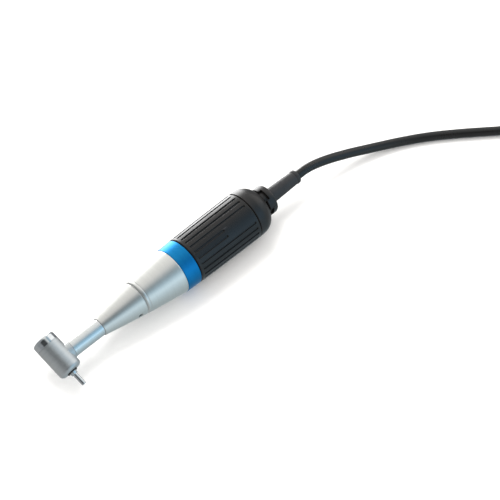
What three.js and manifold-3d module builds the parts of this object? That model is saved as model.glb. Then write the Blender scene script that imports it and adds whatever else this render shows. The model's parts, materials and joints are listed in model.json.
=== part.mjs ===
// Corded dental motor handpiece with a straight-necked angle head.
//
// Millimetres, +Z up. The handpiece lies along X: the head is at the -X end and
// the cord leaves at the +X end. Every length along the handpiece is a station,
// measured from the point where the neck's axis crosses the head's axis.
import * as THREE from 'three';
import { mergeVertices } from 'three/addons/utils/BufferGeometryUtils.js';
import Module from 'manifold-3d';

const wasm = await Module();
wasm.setup();

// ---------------------------------------------------------------- clearances
const FACE_GAP = 0.3;         // between two faces that meet end to end
const FIT = 0.1;              // radial play of a piece in its seat
const RUNNING_FIT = 0.1;      // radial play of a turning piece
const HEAD_FIT = 0.15;        // radial play inside the tilted head

// ---------------------------------------------------------------- the head
const HEAD_ROLL = THREE.MathUtils.degToRad(70);   // tool turned away from straight down
const HEAD_LEAN = THREE.MathUtils.degToRad(3.5);  // tool leaning towards the motor
const HEAD_RADIUS = 6.15;
const HEAD_ABOVE = 7.9;       // head body from the crossing up to the cap seam
const HEAD_BELOW = 8.7;       // head body from the crossing down to the tool end
const HEAD_WALL = 1.1;
const HEAD_FLOOR = 1.5;
const HEAD_FILLET = 1.9;
const RECESS_RADIUS = 3.0;    // dark opening around the chuck's nose
const BOSS_END = 7.0;         // short side boss that takes the neck
const BOSS_STEP = 0.2;        // boss standing proud of the neck
const NECK_SHOULDER = 0.77;   // neck standing proud of the boss's bore
const CAP_LENGTH = 4.4;
const CAP_ROUNDING = 1.6;
const CAP_WALL = 2.3;
const BUTTON_TRAVEL = 0.9;
const BUTTON_PROUD = 0.25;

// ---------------------------------------------------------------- the tool
const SHANK_RADIUS = 1.175;   // standard 2.35 mm shank
const TOOL_REACH = 17.1;      // from the crossing to the tool's end
const TOOL_LENGTH = 20.5;
const CHUCK_RADIUS = 2.1;
const CHUCK_NECK_RADIUS = 1.72;
const CHUCK_NOSE_RADIUS = 2.4;
const CHUCK_NOSE_LENGTH = 2.0;

// ---------------------------------------------------------------- the gears
const GEAR_TEETH = 14;
const GEAR_PITCH_RADIUS = 3.0;
const GEAR_FACE = 1.1;
const GEAR_ADDENDUM = 0.32;
const GEAR_DEDENDUM = 0.55;
const GEAR_BACKLASH = 0.14;
const GEAR_HUB_RADIUS = 2.1;
const GEAR_HUB_LENGTH = 0.9;

// ---------------------------------------------------------------- neck and cones
const NECK_RADIUS = 4.42;
const NECK_SPIGOT = 2.9;      // length of neck inside the head's boss
const NECK_WALL = 1.35;
const CONE_START = 25.0;
const CONE_STEP = 0.38;       // front cone's rim standing proud of the neck
const GROOVE_STATION = 48.7;
const GROOVE_RADIUS = 9.05;
const GROOVE_DEPTH = 0.55;
const GROOVE_WIDTH = 1.1;
const LINE_OFFSET = 1.9;      // fine turned line behind the groove
const LINE_DEPTH = 0.2;
const CONE_WALL = 1.3;
const DRIVE_SHAFT_RADIUS = 1.4;
const LOCK_SCREW_STATION = 44.2;
const LOCK_SCREW_RADIUS = 1.1;
const LOCK_SCREW_LENGTH = 2.6;
const LOCK_SCREW_ROLL = THREE.MathUtils.degToRad(99);

// ---------------------------------------------------------------- colour ring
const RING_START = 71.8;
const RING_LENGTH = 8.3;
const RING_START_RADIUS = 12.4;
const RING_END_RADIUS = 12.7;
const RING_WALL = 1.1;

// ---------------------------------------------------------------- motor
const GRIP_START_RADIUS = 12.75;
const GRIP_END_RADIUS = 13.25;
const GRIP_LENGTH = 40.0;
const GRIP_WALL = 2.0;
const FLUTE_COUNT = 24;
const FLUTE_WIDTH = 1.15;
const FLUTE_DEPTH = 0.7;
const FLUTE_INSET = 2.4;      // plain band left at each end of the grip
const FLUTE_PHASE = THREE.MathUtils.degToRad(10.9);
const PAD_FLUTES = [1, 2];    // flutes cut short in front of the smooth pad
const PAD_LENGTH = 18.6;      // smooth pad, from the grip's rear edge
const DOME_LENGTH = 11.0;
const DOME_END_RADIUS = 7.7;
const DOME_WALL = 2.0;
const DOME_SPIGOT = 4.0;
const CAN_WALL = 0.6;
const NOSE_RADIUS = 5.6;
const NOSE_LENGTH = 17.0;
const NOSE_WALL = 1.7;
const SOCKET_WALL = 1.4;
const MOTOR_SHAFT_RADIUS = 1.6;
const STATOR_SLOT_BAND = 3.1;   // radial band that the winding slots sit in the middle of
const STATOR_LENGTH = 15.0;
const MAGNET_RADIUS = 5.4;
const WINDING_LENGTH = 3.0;
const MOTOR_BEARING_WIDTH = 4.0;
const MOTOR_BEARING_RADIUS = 6.5;
const BALL_COUNT = 8;

// ---------------------------------------------------------------- cable exit
const NUT_LENGTH = 5.8;
const NUT_RADIUS = 8.0;
const NUT_WINDOWS = 4;
const NUT_WINDOW_ARC = THREE.MathUtils.degToRad(50);
const NUT_WINDOW_LENGTH = 2.4;
const NUT_WINDOW_DEPTH = 1.4;
const NUT_WINDOW_CENTRE = THREE.MathUtils.degToRad(10);
const NUT_SPIGOT_RADIUS = 5.4;
const NUT_SPIGOT_LENGTH = 5.0;
const CORD_RADIUS = 2.5;
const SLEEVE_LENGTH = 20.0;
const SLEEVE_START_RADIUS = 4.1;
const SLEEVE_END_RADIUS = 3.55;
const SLEEVE_LIP = 0.25;

// ---------------------------------------------------------------- coil and plug
const CORD_PITCH = 5.1;       // one turn beside the next
const COIL_MIDDLE_RADIUS = 26;
const COIL_OFFSET = { x: 193.5, y: -26.5 };   // coil's centre from the sleeve's end
const TIE_THICKNESS = 0.6;
const TIE_WIDTH = 7;
const TAIL_LENGTH = 13;
const PLUG_RADIUS = 8;
const PLUG_PINS = 5;
const PLUG_PIN_LENGTH = 3;
const PLUG_COLLAR_LENGTH = 12;
const PLUG_SOCKET_DEPTH = 8;

// ---------------------------------------------------------------- stations
const CAP_SEAM = -HEAD_ABOVE;
const BOSS_RADIUS = NECK_RADIUS + BOSS_STEP;
const BOSS_BORE = NECK_RADIUS - NECK_SHOULDER;
const CONE_START_RADIUS = NECK_RADIUS + CONE_STEP;
const CONE_END = RING_START - 0.15;
const RING_END = RING_START + RING_LENGTH;
const GRIP_START = RING_END + FACE_GAP;
const GRIP_END = GRIP_START + GRIP_LENGTH;
const DOME_START = GRIP_END + FACE_GAP;
const DOME_END = DOME_START + DOME_LENGTH;
const NUT_START = DOME_END + FACE_GAP;
const NUT_END = NUT_START + NUT_LENGTH;
const SLEEVE_START = NUT_END - 1.6;
const SLEEVE_END = NUT_END + SLEEVE_LENGTH;
const GRIP_BORE = Math.min(GRIP_START_RADIUS, GRIP_END_RADIUS) - GRIP_WALL;
const CAN_RADIUS = GRIP_BORE - FIT;
const CAN_BORE = CAN_RADIUS - CAN_WALL;

// ---------------------------------------------------------------- roundness
const COARSE = 12;    // screws and the cord inside its sleeve
const MEDIUM = 16;    // small turned pieces
const BROAD = 24;     // turned pieces of the neck and the motor
const FINE = 36;      // the outside

// ---------------------------------------------------------------- materials
function material(color, metalness, roughness) {
  return new THREE.MeshStandardMaterial({ color, metalness, roughness });
}
const satinAluminium = material(0xc9ced1, 0.9, 0.38);
const satinSteel = material(0x9a9fa2, 0.95, 0.34);
const polishedSteel = material(0xb9bdc0, 1.0, 0.16);
const darkSteel = material(0x5f6366, 0.9, 0.4);
const blueAnodised = material(0x1b7fc4, 0.75, 0.35);
const blackPlastic = material(0x2a2a2c, 0.0, 0.5);
const matteBlack = material(0x333437, 0.0, 0.62);
const blackRubber = material(0x1c1c1e, 0.0, 0.7);
const brass = material(0xb08d4a, 0.95, 0.3);
const copper = material(0xb36a3c, 0.95, 0.35);
const boardGreen = material(0x1f5b3a, 0.0, 0.5);
const ferrite = material(0x3a3b3f, 0.3, 0.6);
const paleInsulator = material(0xd8d2c2, 0.0, 0.55);

const group = new THREE.Group();
group.name = 'dental_motor_handpiece';

// ---------------------------------------------------------------- solids
// A manifold solid from a three.js geometry.
function solid(geometry) {
  let plain = geometry.index ? geometry.clone() : mergeVertices(geometry.clone());
  plain.deleteAttribute('normal');
  plain.deleteAttribute('uv');
  plain = mergeVertices(plain, 1e-4);
  const order = plain.index.array;
  const triangles = [];
  for (let i = 0; i < order.length; i += 3) {
    const [a, b, c] = [order[i], order[i + 1], order[i + 2]];
    if (a !== b && b !== c && c !== a) triangles.push(a, b, c);
  }
  const mesh = new wasm.Mesh({
    numProp: 3,
    vertProperties: new Float32Array(plain.attributes.position.array),
    triVerts: new Uint32Array(triangles),
  });
  return new wasm.Manifold(mesh);
}

function geometryOf(body) {
  const mesh = body.getMesh();
  const geometry = new THREE.BufferGeometry();
  geometry.setAttribute('position', new THREE.BufferAttribute(new Float32Array(mesh.vertProperties), 3));
  geometry.setIndex(new THREE.BufferAttribute(new Uint32Array(mesh.triVerts), 1));
  geometry.computeVertexNormals();
  return geometry;
}

function join(first, ...others) {
  return others.reduce((sum, other) => sum.add(other), first);
}

function cut(first, ...others) {
  return others.reduce((rest, other) => rest.subtract(other), first);
}

function addPiece(name, body, look) {
  const mesh = new THREE.Mesh(geometryOf(body), look);
  mesh.name = name;
  group.add(mesh);
  return mesh;
}

// A solid of revolution about X. The outline is a closed list of
// [station, radius] points that runs with the material on its left.
function turned(outline, segments) {
  const points = outline.map(([station, radius]) => new THREE.Vector2(radius, station));
  points.push(points[0].clone());
  const geometry = new THREE.LatheGeometry(points, segments);
  geometry.rotateZ(-Math.PI / 2);
  const body = solid(geometry);
  if (body.volume() > 0) return body;
  points.reverse();
  const flipped = new THREE.LatheGeometry(points, segments);
  flipped.rotateZ(-Math.PI / 2);
  return solid(flipped);
}

// A plain ring or tube between two stations.
function ring(start, end, outer, inner, segments) {
  return turned([[start, inner], [end, inner], [end, outer], [start, outer]], segments);
}

function rod(start, end, radius, segments) {
  return ring(start, end, radius, 0, segments);
}

// Points on a quarter of an ellipse, from its start angle to its end angle.
function roundedCorner(station, radius, alongX, alongR, fromDegrees, toDegrees, steps) {
  const points = [];
  for (let i = 0; i <= steps; i += 1) {
    const angle = THREE.MathUtils.degToRad(fromDegrees + (toDegrees - fromDegrees) * i / steps);
    points.push([station + alongX * Math.cos(angle), radius + alongR * Math.sin(angle)]);
  }
  return points;
}

// The direction at an angle from straight up, turning towards -Y, seen from +X.
function radial(roll) {
  return new THREE.Vector3(0, -Math.sin(roll), Math.cos(roll));
}

function placed(body, matrix) {
  const e = matrix.elements;
  return body.transform([
    e[0], e[1], e[2], 0,
    e[4], e[5], e[6], 0,
    e[8], e[9], e[10], 0,
    e[12], e[13], e[14], 1,
  ]);
}

// ---------------------------------------------------------------- head frame
// Head pieces are drawn along X as well, then stood on the tool's axis.
const toolAxis = new THREE.Vector3(
  Math.sin(HEAD_LEAN),
  -Math.cos(HEAD_LEAN) * Math.sin(HEAD_ROLL),
  -Math.cos(HEAD_LEAN) * Math.cos(HEAD_ROLL),
);
const towardsMotor = new THREE.Vector3(1, 0, 0).addScaledVector(toolAxis, -toolAxis.x).normalize();
const acrossHead = new THREE.Vector3().crossVectors(toolAxis, towardsMotor);
const headFrame = new THREE.Matrix4().makeBasis(toolAxis, towardsMotor, acrossHead);

function inHead(body) {
  return placed(body, headFrame);
}

// ---------------------------------------------------------------- bearings
// A sealed cartridge bearing: one solid ring with a groove where its rings part.
function cartridge(start, width, outer, inner) {
  const partAt = (outer + inner) / 2;
  const groove = Math.min(0.25, (outer - inner) / 6);
  return turned([
    [start, inner], [start + width, inner],
    [start + width, partAt - groove], [start + width - groove, partAt], [start + width, partAt + groove],
    [start + width, outer], [start, outer],
    [start, partAt + groove], [start + groove, partAt], [start, partAt - groove],
  ], MEDIUM);
}

// An open ball bearing as three pieces: the two rings and the caged balls.
function ballBearing(name, start, outer, inner) {
  const width = MOTOR_BEARING_WIDTH;
  const middle = start + width / 2;
  const pitch = (outer + inner) / 2;
  const ballRadius = (outer - inner) / 2 * 0.46;
  const raceRadius = ballRadius + RUNNING_FIT;
  const shoulder = ballRadius * 0.62;
  const race = (side) => {
    const points = [];
    const edge = Math.acos(shoulder / raceRadius);
    for (let i = -2; i <= 2; i += 1) {
      const angle = edge * i / 2;
      points.push([middle + raceRadius * Math.sin(angle), pitch + side * raceRadius * Math.cos(angle)]);
    }
    return points;
  };
  const outerRing = turned([
    [start, pitch + shoulder], ...race(1), [start + width, pitch + shoulder],
    [start + width, outer], [start, outer],
  ], MEDIUM);
  const innerRing = turned([
    [start, inner], [start + width, inner],
    [start + width, pitch - shoulder], ...race(-1).reverse(), [start, pitch - shoulder],
  ], MEDIUM);
  let cage = ring(middle - 0.35, middle + 0.35, pitch + 0.35, pitch - 0.35, MEDIUM);
  for (let i = 0; i < BALL_COUNT; i += 1) {
    const angle = 2 * Math.PI * i / BALL_COUNT;
    const ball = new THREE.SphereGeometry(ballRadius, 6, 4);
    ball.translate(middle, pitch * Math.cos(angle), pitch * Math.sin(angle));
    cage = cage.add(solid(ball));
  }
  addPiece(`${name}_outer_ring`, outerRing, polishedSteel);
  addPiece(`${name}_inner_ring`, innerRing, polishedSteel);
  addPiece(`${name}_caged_balls`, cage, polishedSteel);
}

// ---------------------------------------------------------------- bevel gears
// Both gears share one shaft angle and one pitch radius, so they turn one to one.
const SHAFT_ANGLE = Math.PI / 2 + HEAD_LEAN;
const CONE_ANGLE = SHAFT_ANGLE / 2;
const GEAR_PLANE = GEAR_PITCH_RADIUS / Math.tan(CONE_ANGLE);
const GEAR_TAPER = 1 - GEAR_FACE * Math.sin(CONE_ANGLE) / GEAR_PITCH_RADIUS;

// Drawn about +X with the shared apex at the origin. With no turn a tooth
// points along +Y; half a pitch of turn puts a gap there.
function bevelGear(halfPitchTurn) {
  const tip = GEAR_PITCH_RADIUS + GEAR_ADDENDUM;
  const root = GEAR_PITCH_RADIUS - GEAR_DEDENDUM;
  const pitchAngle = 2 * Math.PI / GEAR_TEETH;
  const thickness = pitchAngle / 2 - GEAR_BACKLASH / GEAR_PITCH_RADIUS;
  const shape = new THREE.Shape();
  for (let i = 0; i < GEAR_TEETH; i += 1) {
    const centre = pitchAngle * (i + (halfPitchTurn ? 0.5 : 0));
    const flank = [
      [root, -thickness * 0.72], [GEAR_PITCH_RADIUS, -thickness * 0.5], [tip, -thickness * 0.26],
      [tip, thickness * 0.26], [GEAR_PITCH_RADIUS, thickness * 0.5], [root, thickness * 0.72],
    ];
    flank.forEach(([radius, offset], j) => {
      const x = radius * Math.cos(centre + offset);
      const y = radius * Math.sin(centre + offset);
      if (i === 0 && j === 0) shape.moveTo(x, y);
      else shape.lineTo(x, y);
    });
  }
  const geometry = new THREE.ExtrudeGeometry(shape, { depth: 1, steps: 1, bevelEnabled: false });
  const position = geometry.attributes.position;
  for (let i = 0; i < position.count; i += 1) {
    const shrink = GEAR_TAPER + (1 - GEAR_TAPER) * position.getZ(i);
    const across = position.getX(i) * shrink;
    const up = position.getY(i) * shrink;
    position.setXYZ(i, GEAR_PLANE * shrink, across, up);
  }
  return solid(geometry);
}

// A rotation about X that takes +Y to the given direction across the shaft.
function turnTo(direction) {
  return new THREE.Matrix4().makeRotationX(Math.atan2(direction.z, direction.y));
}

// ================================================================ the head
const headBore = HEAD_RADIUS - HEAD_WALL;
const floorInside = HEAD_BELOW - HEAD_FLOOR;
const housingShell = turned([
  [CAP_SEAM, headBore],
  [floorInside, headBore],
  [floorInside, RECESS_RADIUS],
  [HEAD_BELOW, RECESS_RADIUS],
  ...roundedCorner(
    HEAD_BELOW - HEAD_FILLET, HEAD_RADIUS - HEAD_FILLET, HEAD_FILLET, HEAD_FILLET, 0, 90, 4,
  ),
  [CAP_SEAM, HEAD_RADIUS],
], FINE);
const boss = rod(0, BOSS_END, BOSS_RADIUS, BROAD);
const headRoom = inHead(rod(CAP_SEAM - 1, floorInside, headBore, FINE));
const bossBore = rod(0, BOSS_END + 1, BOSS_BORE, MEDIUM);
addPiece('head_housing', cut(join(inHead(housingShell), boss), headRoom, bossBore), satinSteel);

const capStart = CAP_SEAM - FACE_GAP;
const capEnd = CAP_SEAM - CAP_LENGTH;
const buttonRadius = HEAD_RADIUS - CAP_WALL;
const capSpigot = 0.8;
addPiece('head_cap', inHead(turned([
  [capStart, HEAD_RADIUS],
  ...roundedCorner(
    capEnd + CAP_ROUNDING, HEAD_RADIUS - CAP_ROUNDING, -CAP_ROUNDING, CAP_ROUNDING, 90, 0, 4,
  ),
  [capEnd, buttonRadius + HEAD_FIT],
  [capStart + capSpigot, buttonRadius + HEAD_FIT],
  [capStart + capSpigot, headBore - HEAD_FIT],
  [capStart, headBore - HEAD_FIT],
], FINE)), polishedSteel);

const shankBore = SHANK_RADIUS + HEAD_FIT;
const gearBack = -GEAR_PLANE;
const upperBearingEnd = gearBack - GEAR_HUB_LENGTH - FACE_GAP;
const upperBearingWidth = 2.2;
const upperBearingStart = upperBearingEnd - upperBearingWidth;
const lowerBearingWidth = 2.3;
const lowerBearingEnd = floorInside - FACE_GAP;
const lowerBearingStart = lowerBearingEnd - lowerBearingWidth;
const chuckTop = upperBearingStart - 0.3;
const noseEnd = HEAD_BELOW + CHUCK_NOSE_LENGTH;

// The button's plunger stops just short of the chuck, and enters its bore when pressed.
const buttonFace = capEnd - BUTTON_PROUD;
const buttonSkirt = CAP_SEAM + 0.3 - BUTTON_TRAVEL;
const buttonUnderside = buttonFace + 1.5;
const plungerRadius = shankBore - 0.3;
const plungerEnd = chuckTop - FACE_GAP;
addPiece('push_button', inHead(turned([
  [buttonFace, 0],
  [buttonFace + 0.1, buttonRadius * 0.6],
  [buttonFace + 0.35, buttonRadius],
  [buttonSkirt, buttonRadius],
  [buttonSkirt, buttonRadius - 0.9],
  [buttonUnderside, buttonRadius - 0.9],
  [buttonUnderside, plungerRadius],
  [plungerEnd, plungerRadius],
  [plungerEnd, 0],
], BROAD)), polishedSteel);

// The tool's spindle: a hollow chuck that carries the driven gear.
addPiece('chuck_spindle', inHead(turned([
  [chuckTop, shankBore],
  [noseEnd, shankBore],
  [noseEnd, CHUCK_NECK_RADIUS],
  [HEAD_BELOW + 0.3, CHUCK_NOSE_RADIUS],
  [lowerBearingEnd + 0.2, CHUCK_NOSE_RADIUS],
  [lowerBearingEnd + 0.2, CHUCK_RADIUS],
  [lowerBearingStart - 0.4, CHUCK_RADIUS],
  [lowerBearingStart - 0.4, CHUCK_NECK_RADIUS],
  [chuckTop, CHUCK_NECK_RADIUS],
], MEDIUM)), polishedSteel);

const gearBore = rod(-20, 20, CHUCK_NECK_RADIUS + HEAD_FIT, MEDIUM);
const flipAlong = new THREE.Matrix4().makeRotationY(Math.PI);
const gearHub = ring(GEAR_PLANE - 0.05, GEAR_PLANE + GEAR_HUB_LENGTH, GEAR_HUB_RADIUS + 0.2,
  CHUCK_NECK_RADIUS + HEAD_FIT, MEDIUM);
addPiece('spindle_gear', inHead(placed(cut(join(bevelGear(true), gearHub), gearBore), flipAlong)), darkSteel);

addPiece('spindle_bearing_upper', inHead(cartridge(
  upperBearingStart, upperBearingWidth, headBore - HEAD_FIT, CHUCK_NECK_RADIUS + HEAD_FIT,
)), polishedSteel);
addPiece('spindle_bearing_lower', inHead(cartridge(
  lowerBearingStart, lowerBearingWidth, headBore - HEAD_FIT, CHUCK_RADIUS + HEAD_FIT,
)), polishedSteel);

// A return spring between the button and the washer that holds the upper bearing.
const washerEnd = upperBearingStart - FACE_GAP;
const washerStart = washerEnd - 0.6;
addPiece('bearing_washer', inHead(ring(
  washerStart, washerEnd, headBore - HEAD_FIT, CHUCK_NECK_RADIUS + 2 * HEAD_FIT, MEDIUM,
)), satinSteel);
const springTop = buttonUnderside + 0.15;
const springBottom = washerStart - 0.15;
const springWire = 0.22;
const springRadius = buttonRadius - 1.45;
class SpringPath extends THREE.Curve {
  getPoint(share, target = new THREE.Vector3()) {
    const turn = share * Math.PI * 2 * 3;
    const rise = (springBottom - springTop) - 2 * springWire;
    return target.set(
      springTop + springWire + rise * share,
      springRadius * Math.cos(turn),
      springRadius * Math.sin(turn),
    );
  }
}
const wireSection = new THREE.Shape();
wireSection.absarc(0, 0, springWire, 0, Math.PI * 2);
addPiece('button_spring', inHead(solid(new THREE.ExtrudeGeometry(wireSection, {
  steps: 36,
  curveSegments: 3,
  extrudePath: new SpringPath(),
}))), polishedSteel);

const toolTop = TOOL_REACH - TOOL_LENGTH;
addPiece('tool', inHead(turned([
  [toolTop, 0],
  [toolTop, SHANK_RADIUS - 0.3],
  [toolTop + 0.4, SHANK_RADIUS],
  [TOOL_REACH - 0.25, SHANK_RADIUS],
  [TOOL_REACH, SHANK_RADIUS - 0.25],
  [TOOL_REACH, 0],
], MEDIUM)), polishedSteel);

// ================================================================ neck and drive
const neckBore = NECK_RADIUS - NECK_WALL;
const neckStart = BOSS_END + FACE_GAP;
const neckSpigotRadius = BOSS_BORE - FIT;
const neckEnd = CONE_START + 9;
addPiece('neck_tube', turned([
  [BOSS_END - NECK_SPIGOT, neckBore],
  [neckEnd, neckBore],
  [neckEnd, NECK_RADIUS],
  [neckStart, NECK_RADIUS],
  [neckStart, neckSpigotRadius],
  [BOSS_END - NECK_SPIGOT, neckSpigotRadius],
], BROAD), satinAluminium);

// Radius of the tapering outside at a station of the two cones.
function frontConeRadius(station) {
  const share = (station - CONE_START) / (GROOVE_STATION - CONE_START);
  return CONE_START_RADIUS + (GROOVE_RADIUS - CONE_START_RADIUS) * share;
}
function rearConeRadius(station) {
  const share = (station - GROOVE_STATION) / (RING_START - GROOVE_STATION);
  return GROOVE_RADIUS + (RING_START_RADIUS - GROOVE_RADIUS) * share;
}

const frontConeEnd = GROOVE_STATION - FACE_GAP / 2;
const rearConeStart = GROOVE_STATION + FACE_GAP / 2;
const coneSeat = NECK_RADIUS + FIT;
const coneThroat = neckEnd + 0.5;
const coneThread = 4.5;       // front cone's rear skirt inside the rear cone
const coneSkirtRadius = GROOVE_RADIUS - GROOVE_DEPTH - CONE_WALL;
const frontCone = turned([
  [CONE_START, coneSeat],
  [coneThroat, coneSeat],
  [frontConeEnd - 4, coneSkirtRadius - CONE_WALL],
  [frontConeEnd + coneThread, coneSkirtRadius - CONE_WALL],
  [frontConeEnd + coneThread, coneSkirtRadius],
  [frontConeEnd, coneSkirtRadius],
  [frontConeEnd, GROOVE_RADIUS - GROOVE_DEPTH],
  [frontConeEnd - GROOVE_WIDTH / 2, frontConeRadius(frontConeEnd - GROOVE_WIDTH / 2)],
  [CONE_START, CONE_START_RADIUS],
], FINE);
const screwSpot = new THREE.Matrix4().makeBasis(
  radial(LOCK_SCREW_ROLL), new THREE.Vector3(1, 0, 0),
  new THREE.Vector3().crossVectors(radial(LOCK_SCREW_ROLL), new THREE.Vector3(1, 0, 0)),
);
screwSpot.setPosition(LOCK_SCREW_STATION, 0, 0);
const screwHead = frontConeRadius(LOCK_SCREW_STATION) - 0.45;
const screwHole = placed(rod(0, 20, LOCK_SCREW_RADIUS + FIT, COARSE), screwSpot);
addPiece('front_cone', cut(frontCone, screwHole), satinAluminium);

// Grub screw with a square socket, its foot short of the shaft tube inside.
const socketCut = new THREE.BoxGeometry(1.4, 0.85, 0.85);
socketCut.translate(screwHead, 0, 0);
addPiece('lock_screw', placed(cut(
  rod(screwHead - LOCK_SCREW_LENGTH, screwHead, LOCK_SCREW_RADIUS, COARSE), solid(socketCut),
), screwSpot), darkSteel);

const lineStation = GROOVE_STATION + LINE_OFFSET;
const ringSeat = RING_START_RADIUS - RING_WALL - FIT;
const skirtEnd = RING_END - FACE_GAP;
const coneInside = (station) => rearConeRadius(station) - CONE_WALL;
addPiece('rear_cone', turned([
  [rearConeStart, coneSkirtRadius + FIT],
  [frontConeEnd + coneThread + 1, coneSkirtRadius + FIT],
  [frontConeEnd + coneThread + 1.6, coneInside(frontConeEnd + coneThread + 1.6)],
  [CONE_END, coneInside(CONE_END) - 0.8],
  [skirtEnd, coneInside(CONE_END) - 0.8],
  [skirtEnd, ringSeat],
  [CONE_END, ringSeat],
  [CONE_END, RING_START_RADIUS - 0.35],
  [CONE_END - 0.35, rearConeRadius(CONE_END - 0.35)],
  [lineStation + 0.3, rearConeRadius(lineStation + 0.3)],
  [lineStation, rearConeRadius(lineStation) - LINE_DEPTH],
  [lineStation - 0.3, rearConeRadius(lineStation - 0.3)],
  [rearConeStart + GROOVE_WIDTH / 2, rearConeRadius(rearConeStart + GROOVE_WIDTH / 2)],
  [rearConeStart, GROOVE_RADIUS - GROOVE_DEPTH],
], FINE), satinAluminium);

addPiece('colour_ring', turned([
  [RING_START + FACE_GAP / 2, ringSeat + FIT],
  [RING_END, ringSeat + FIT],
  [RING_END, RING_END_RADIUS - 0.25],
  [RING_END - 0.25, RING_END_RADIUS],
  [RING_START + FACE_GAP / 2 + 0.25, RING_START_RADIUS],
  [RING_START + FACE_GAP / 2, RING_START_RADIUS - 0.25],
], FINE), blueAnodised);

// The bevel pinion turns on the drive shaft, inside the head's boss.
const pinionMatrix = turnTo(radial(-HEAD_ROLL));
const pinionEnd = GEAR_PLANE + GEAR_HUB_LENGTH;
const pinionHub = ring(GEAR_PLANE - 0.05, pinionEnd, GEAR_HUB_RADIUS, 0, MEDIUM);
addPiece('drive_pinion', placed(join(bevelGear(false), pinionHub), pinionMatrix), darkSteel);

const noseStart = GRIP_START - NOSE_LENGTH;
const couplingEnd = noseStart - 0.4;
const couplingLength = 4.2;
const couplingRadius = 3.4;
const dogStart = couplingEnd - couplingLength;
const shaftStart = pinionEnd + FACE_GAP;
const shaftShoulder = neckEnd + 3.5;
addPiece('drive_shaft', turned([
  [shaftStart, 0], [shaftStart, DRIVE_SHAFT_RADIUS],
  [shaftShoulder, DRIVE_SHAFT_RADIUS], [shaftShoulder + 0.5, DRIVE_SHAFT_RADIUS + 0.5],
  [dogStart - FACE_GAP, DRIVE_SHAFT_RADIUS + 0.5], [dogStart - FACE_GAP, 0],
], MEDIUM), polishedSteel);

const shaftBearingWidth = 2.6;
addPiece('shaft_bearing_front', cartridge(
  neckStart + 1.2, shaftBearingWidth, neckBore - FIT, DRIVE_SHAFT_RADIUS + RUNNING_FIT,
), polishedSteel);
addPiece('shaft_bearing_rear', cartridge(
  neckEnd - 0.5 - shaftBearingWidth, shaftBearingWidth, neckBore - FIT, DRIVE_SHAFT_RADIUS + RUNNING_FIT,
), polishedSteel);

// The drive dog is a slotted cup; the motor's driver tongue fits its slot.
const tongueWidth = 1.6;
const slotCut = new THREE.BoxGeometry(2.6, couplingRadius * 3, tongueWidth + 2 * FACE_GAP);
slotCut.translate(couplingEnd - 1.3 + 0.01, 0, 0);
addPiece('drive_dog', cut(rod(dogStart, couplingEnd, couplingRadius, MEDIUM), solid(slotCut)), darkSteel);

const driverStart = couplingEnd + FACE_GAP;
const driverEnd = driverStart + 1.8;
const tongue = new THREE.BoxGeometry(2.4, couplingRadius * 1.5, tongueWidth);
tongue.translate(driverStart - 1.2 + 0.2, 0, 0);
addPiece('motor_driver', join(
  rod(driverStart, driverEnd, NOSE_RADIUS - NOSE_WALL - 0.5, MEDIUM), solid(tongue),
), darkSteel);

// ================================================================ coupling nose
const motorFront = GRIP_START + 1.4;
const noseBore = NOSE_RADIUS - NOSE_WALL;
const noseRingStation = noseStart + 4.5;
addPiece('motor_nose', turned([
  [noseStart, noseBore],
  [motorFront + 0.6, noseBore],
  [motorFront + 0.6, CAN_RADIUS],
  [motorFront - 1.2, CAN_RADIUS],
  [motorFront - 1.2, NOSE_RADIUS],
  [noseRingStation + 0.7, NOSE_RADIUS],
  [noseRingStation + 0.7, NOSE_RADIUS - 0.6],
  [noseRingStation - 0.7, NOSE_RADIUS - 0.6],
  [noseRingStation - 0.7, NOSE_RADIUS],
  [noseStart + 0.5, NOSE_RADIUS],
  [noseStart, NOSE_RADIUS - 0.5],
], BROAD), satinSteel);
addPiece('nose_seal', ring(
  noseRingStation - 0.55, noseRingStation + 0.55, NOSE_RADIUS + 0.05, NOSE_RADIUS - 0.5, BROAD,
), blackRubber);

const socketBore = NOSE_RADIUS + RUNNING_FIT + 0.05;
const socketRadius = socketBore + SOCKET_WALL;
const socketFlange = CONE_END - 9;
const socketEnd = GRIP_START - 2.2;
addPiece('socket_sleeve', turned([
  [noseStart - 0.4, socketBore],
  [socketEnd, socketBore],
  [socketEnd, socketRadius],
  [socketFlange + 2, socketRadius],
  [socketFlange + 2, coneInside(socketFlange) - FIT - 0.5],
  [socketFlange, coneInside(socketFlange) - FIT - 0.5],
  [socketFlange, socketRadius],
  [noseStart - 0.4, socketRadius],
], BROAD), brass);

// ================================================================ motor
const canStart = motorFront + 0.6 + FACE_GAP;
const frontBearingStart = canStart + 0.3;
const frontWindingStart = frontBearingStart + MOTOR_BEARING_WIDTH + 0.5;
const statorStart = frontWindingStart + WINDING_LENGTH + FACE_GAP;
const statorEnd = statorStart + STATOR_LENGTH;
const rearWindingStart = statorEnd + FACE_GAP;
const rearBearingStart = rearWindingStart + WINDING_LENGTH + 0.5;
const canEnd = rearBearingStart + MOTOR_BEARING_WIDTH + 0.6;
addPiece('motor_can', ring(canStart, canEnd, CAN_RADIUS, CAN_BORE, FINE), satinSteel);

const bearingBore = MOTOR_SHAFT_RADIUS + RUNNING_FIT;
const carrierWall = ring(frontBearingStart, frontBearingStart + MOTOR_BEARING_WIDTH,
  CAN_BORE - FIT, MOTOR_BEARING_RADIUS + FIT, BROAD);
addPiece('front_bearing_carrier', carrierWall, satinAluminium);
ballBearing('front_bearing', frontBearingStart, MOTOR_BEARING_RADIUS, bearingBore);
addPiece('rear_bearing_carrier', ring(
  rearBearingStart, rearBearingStart + MOTOR_BEARING_WIDTH, CAN_BORE - FIT, MOTOR_BEARING_RADIUS + FIT, BROAD,
), satinAluminium);
ballBearing('rear_bearing', rearBearingStart, MOTOR_BEARING_RADIUS, bearingBore);

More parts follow.
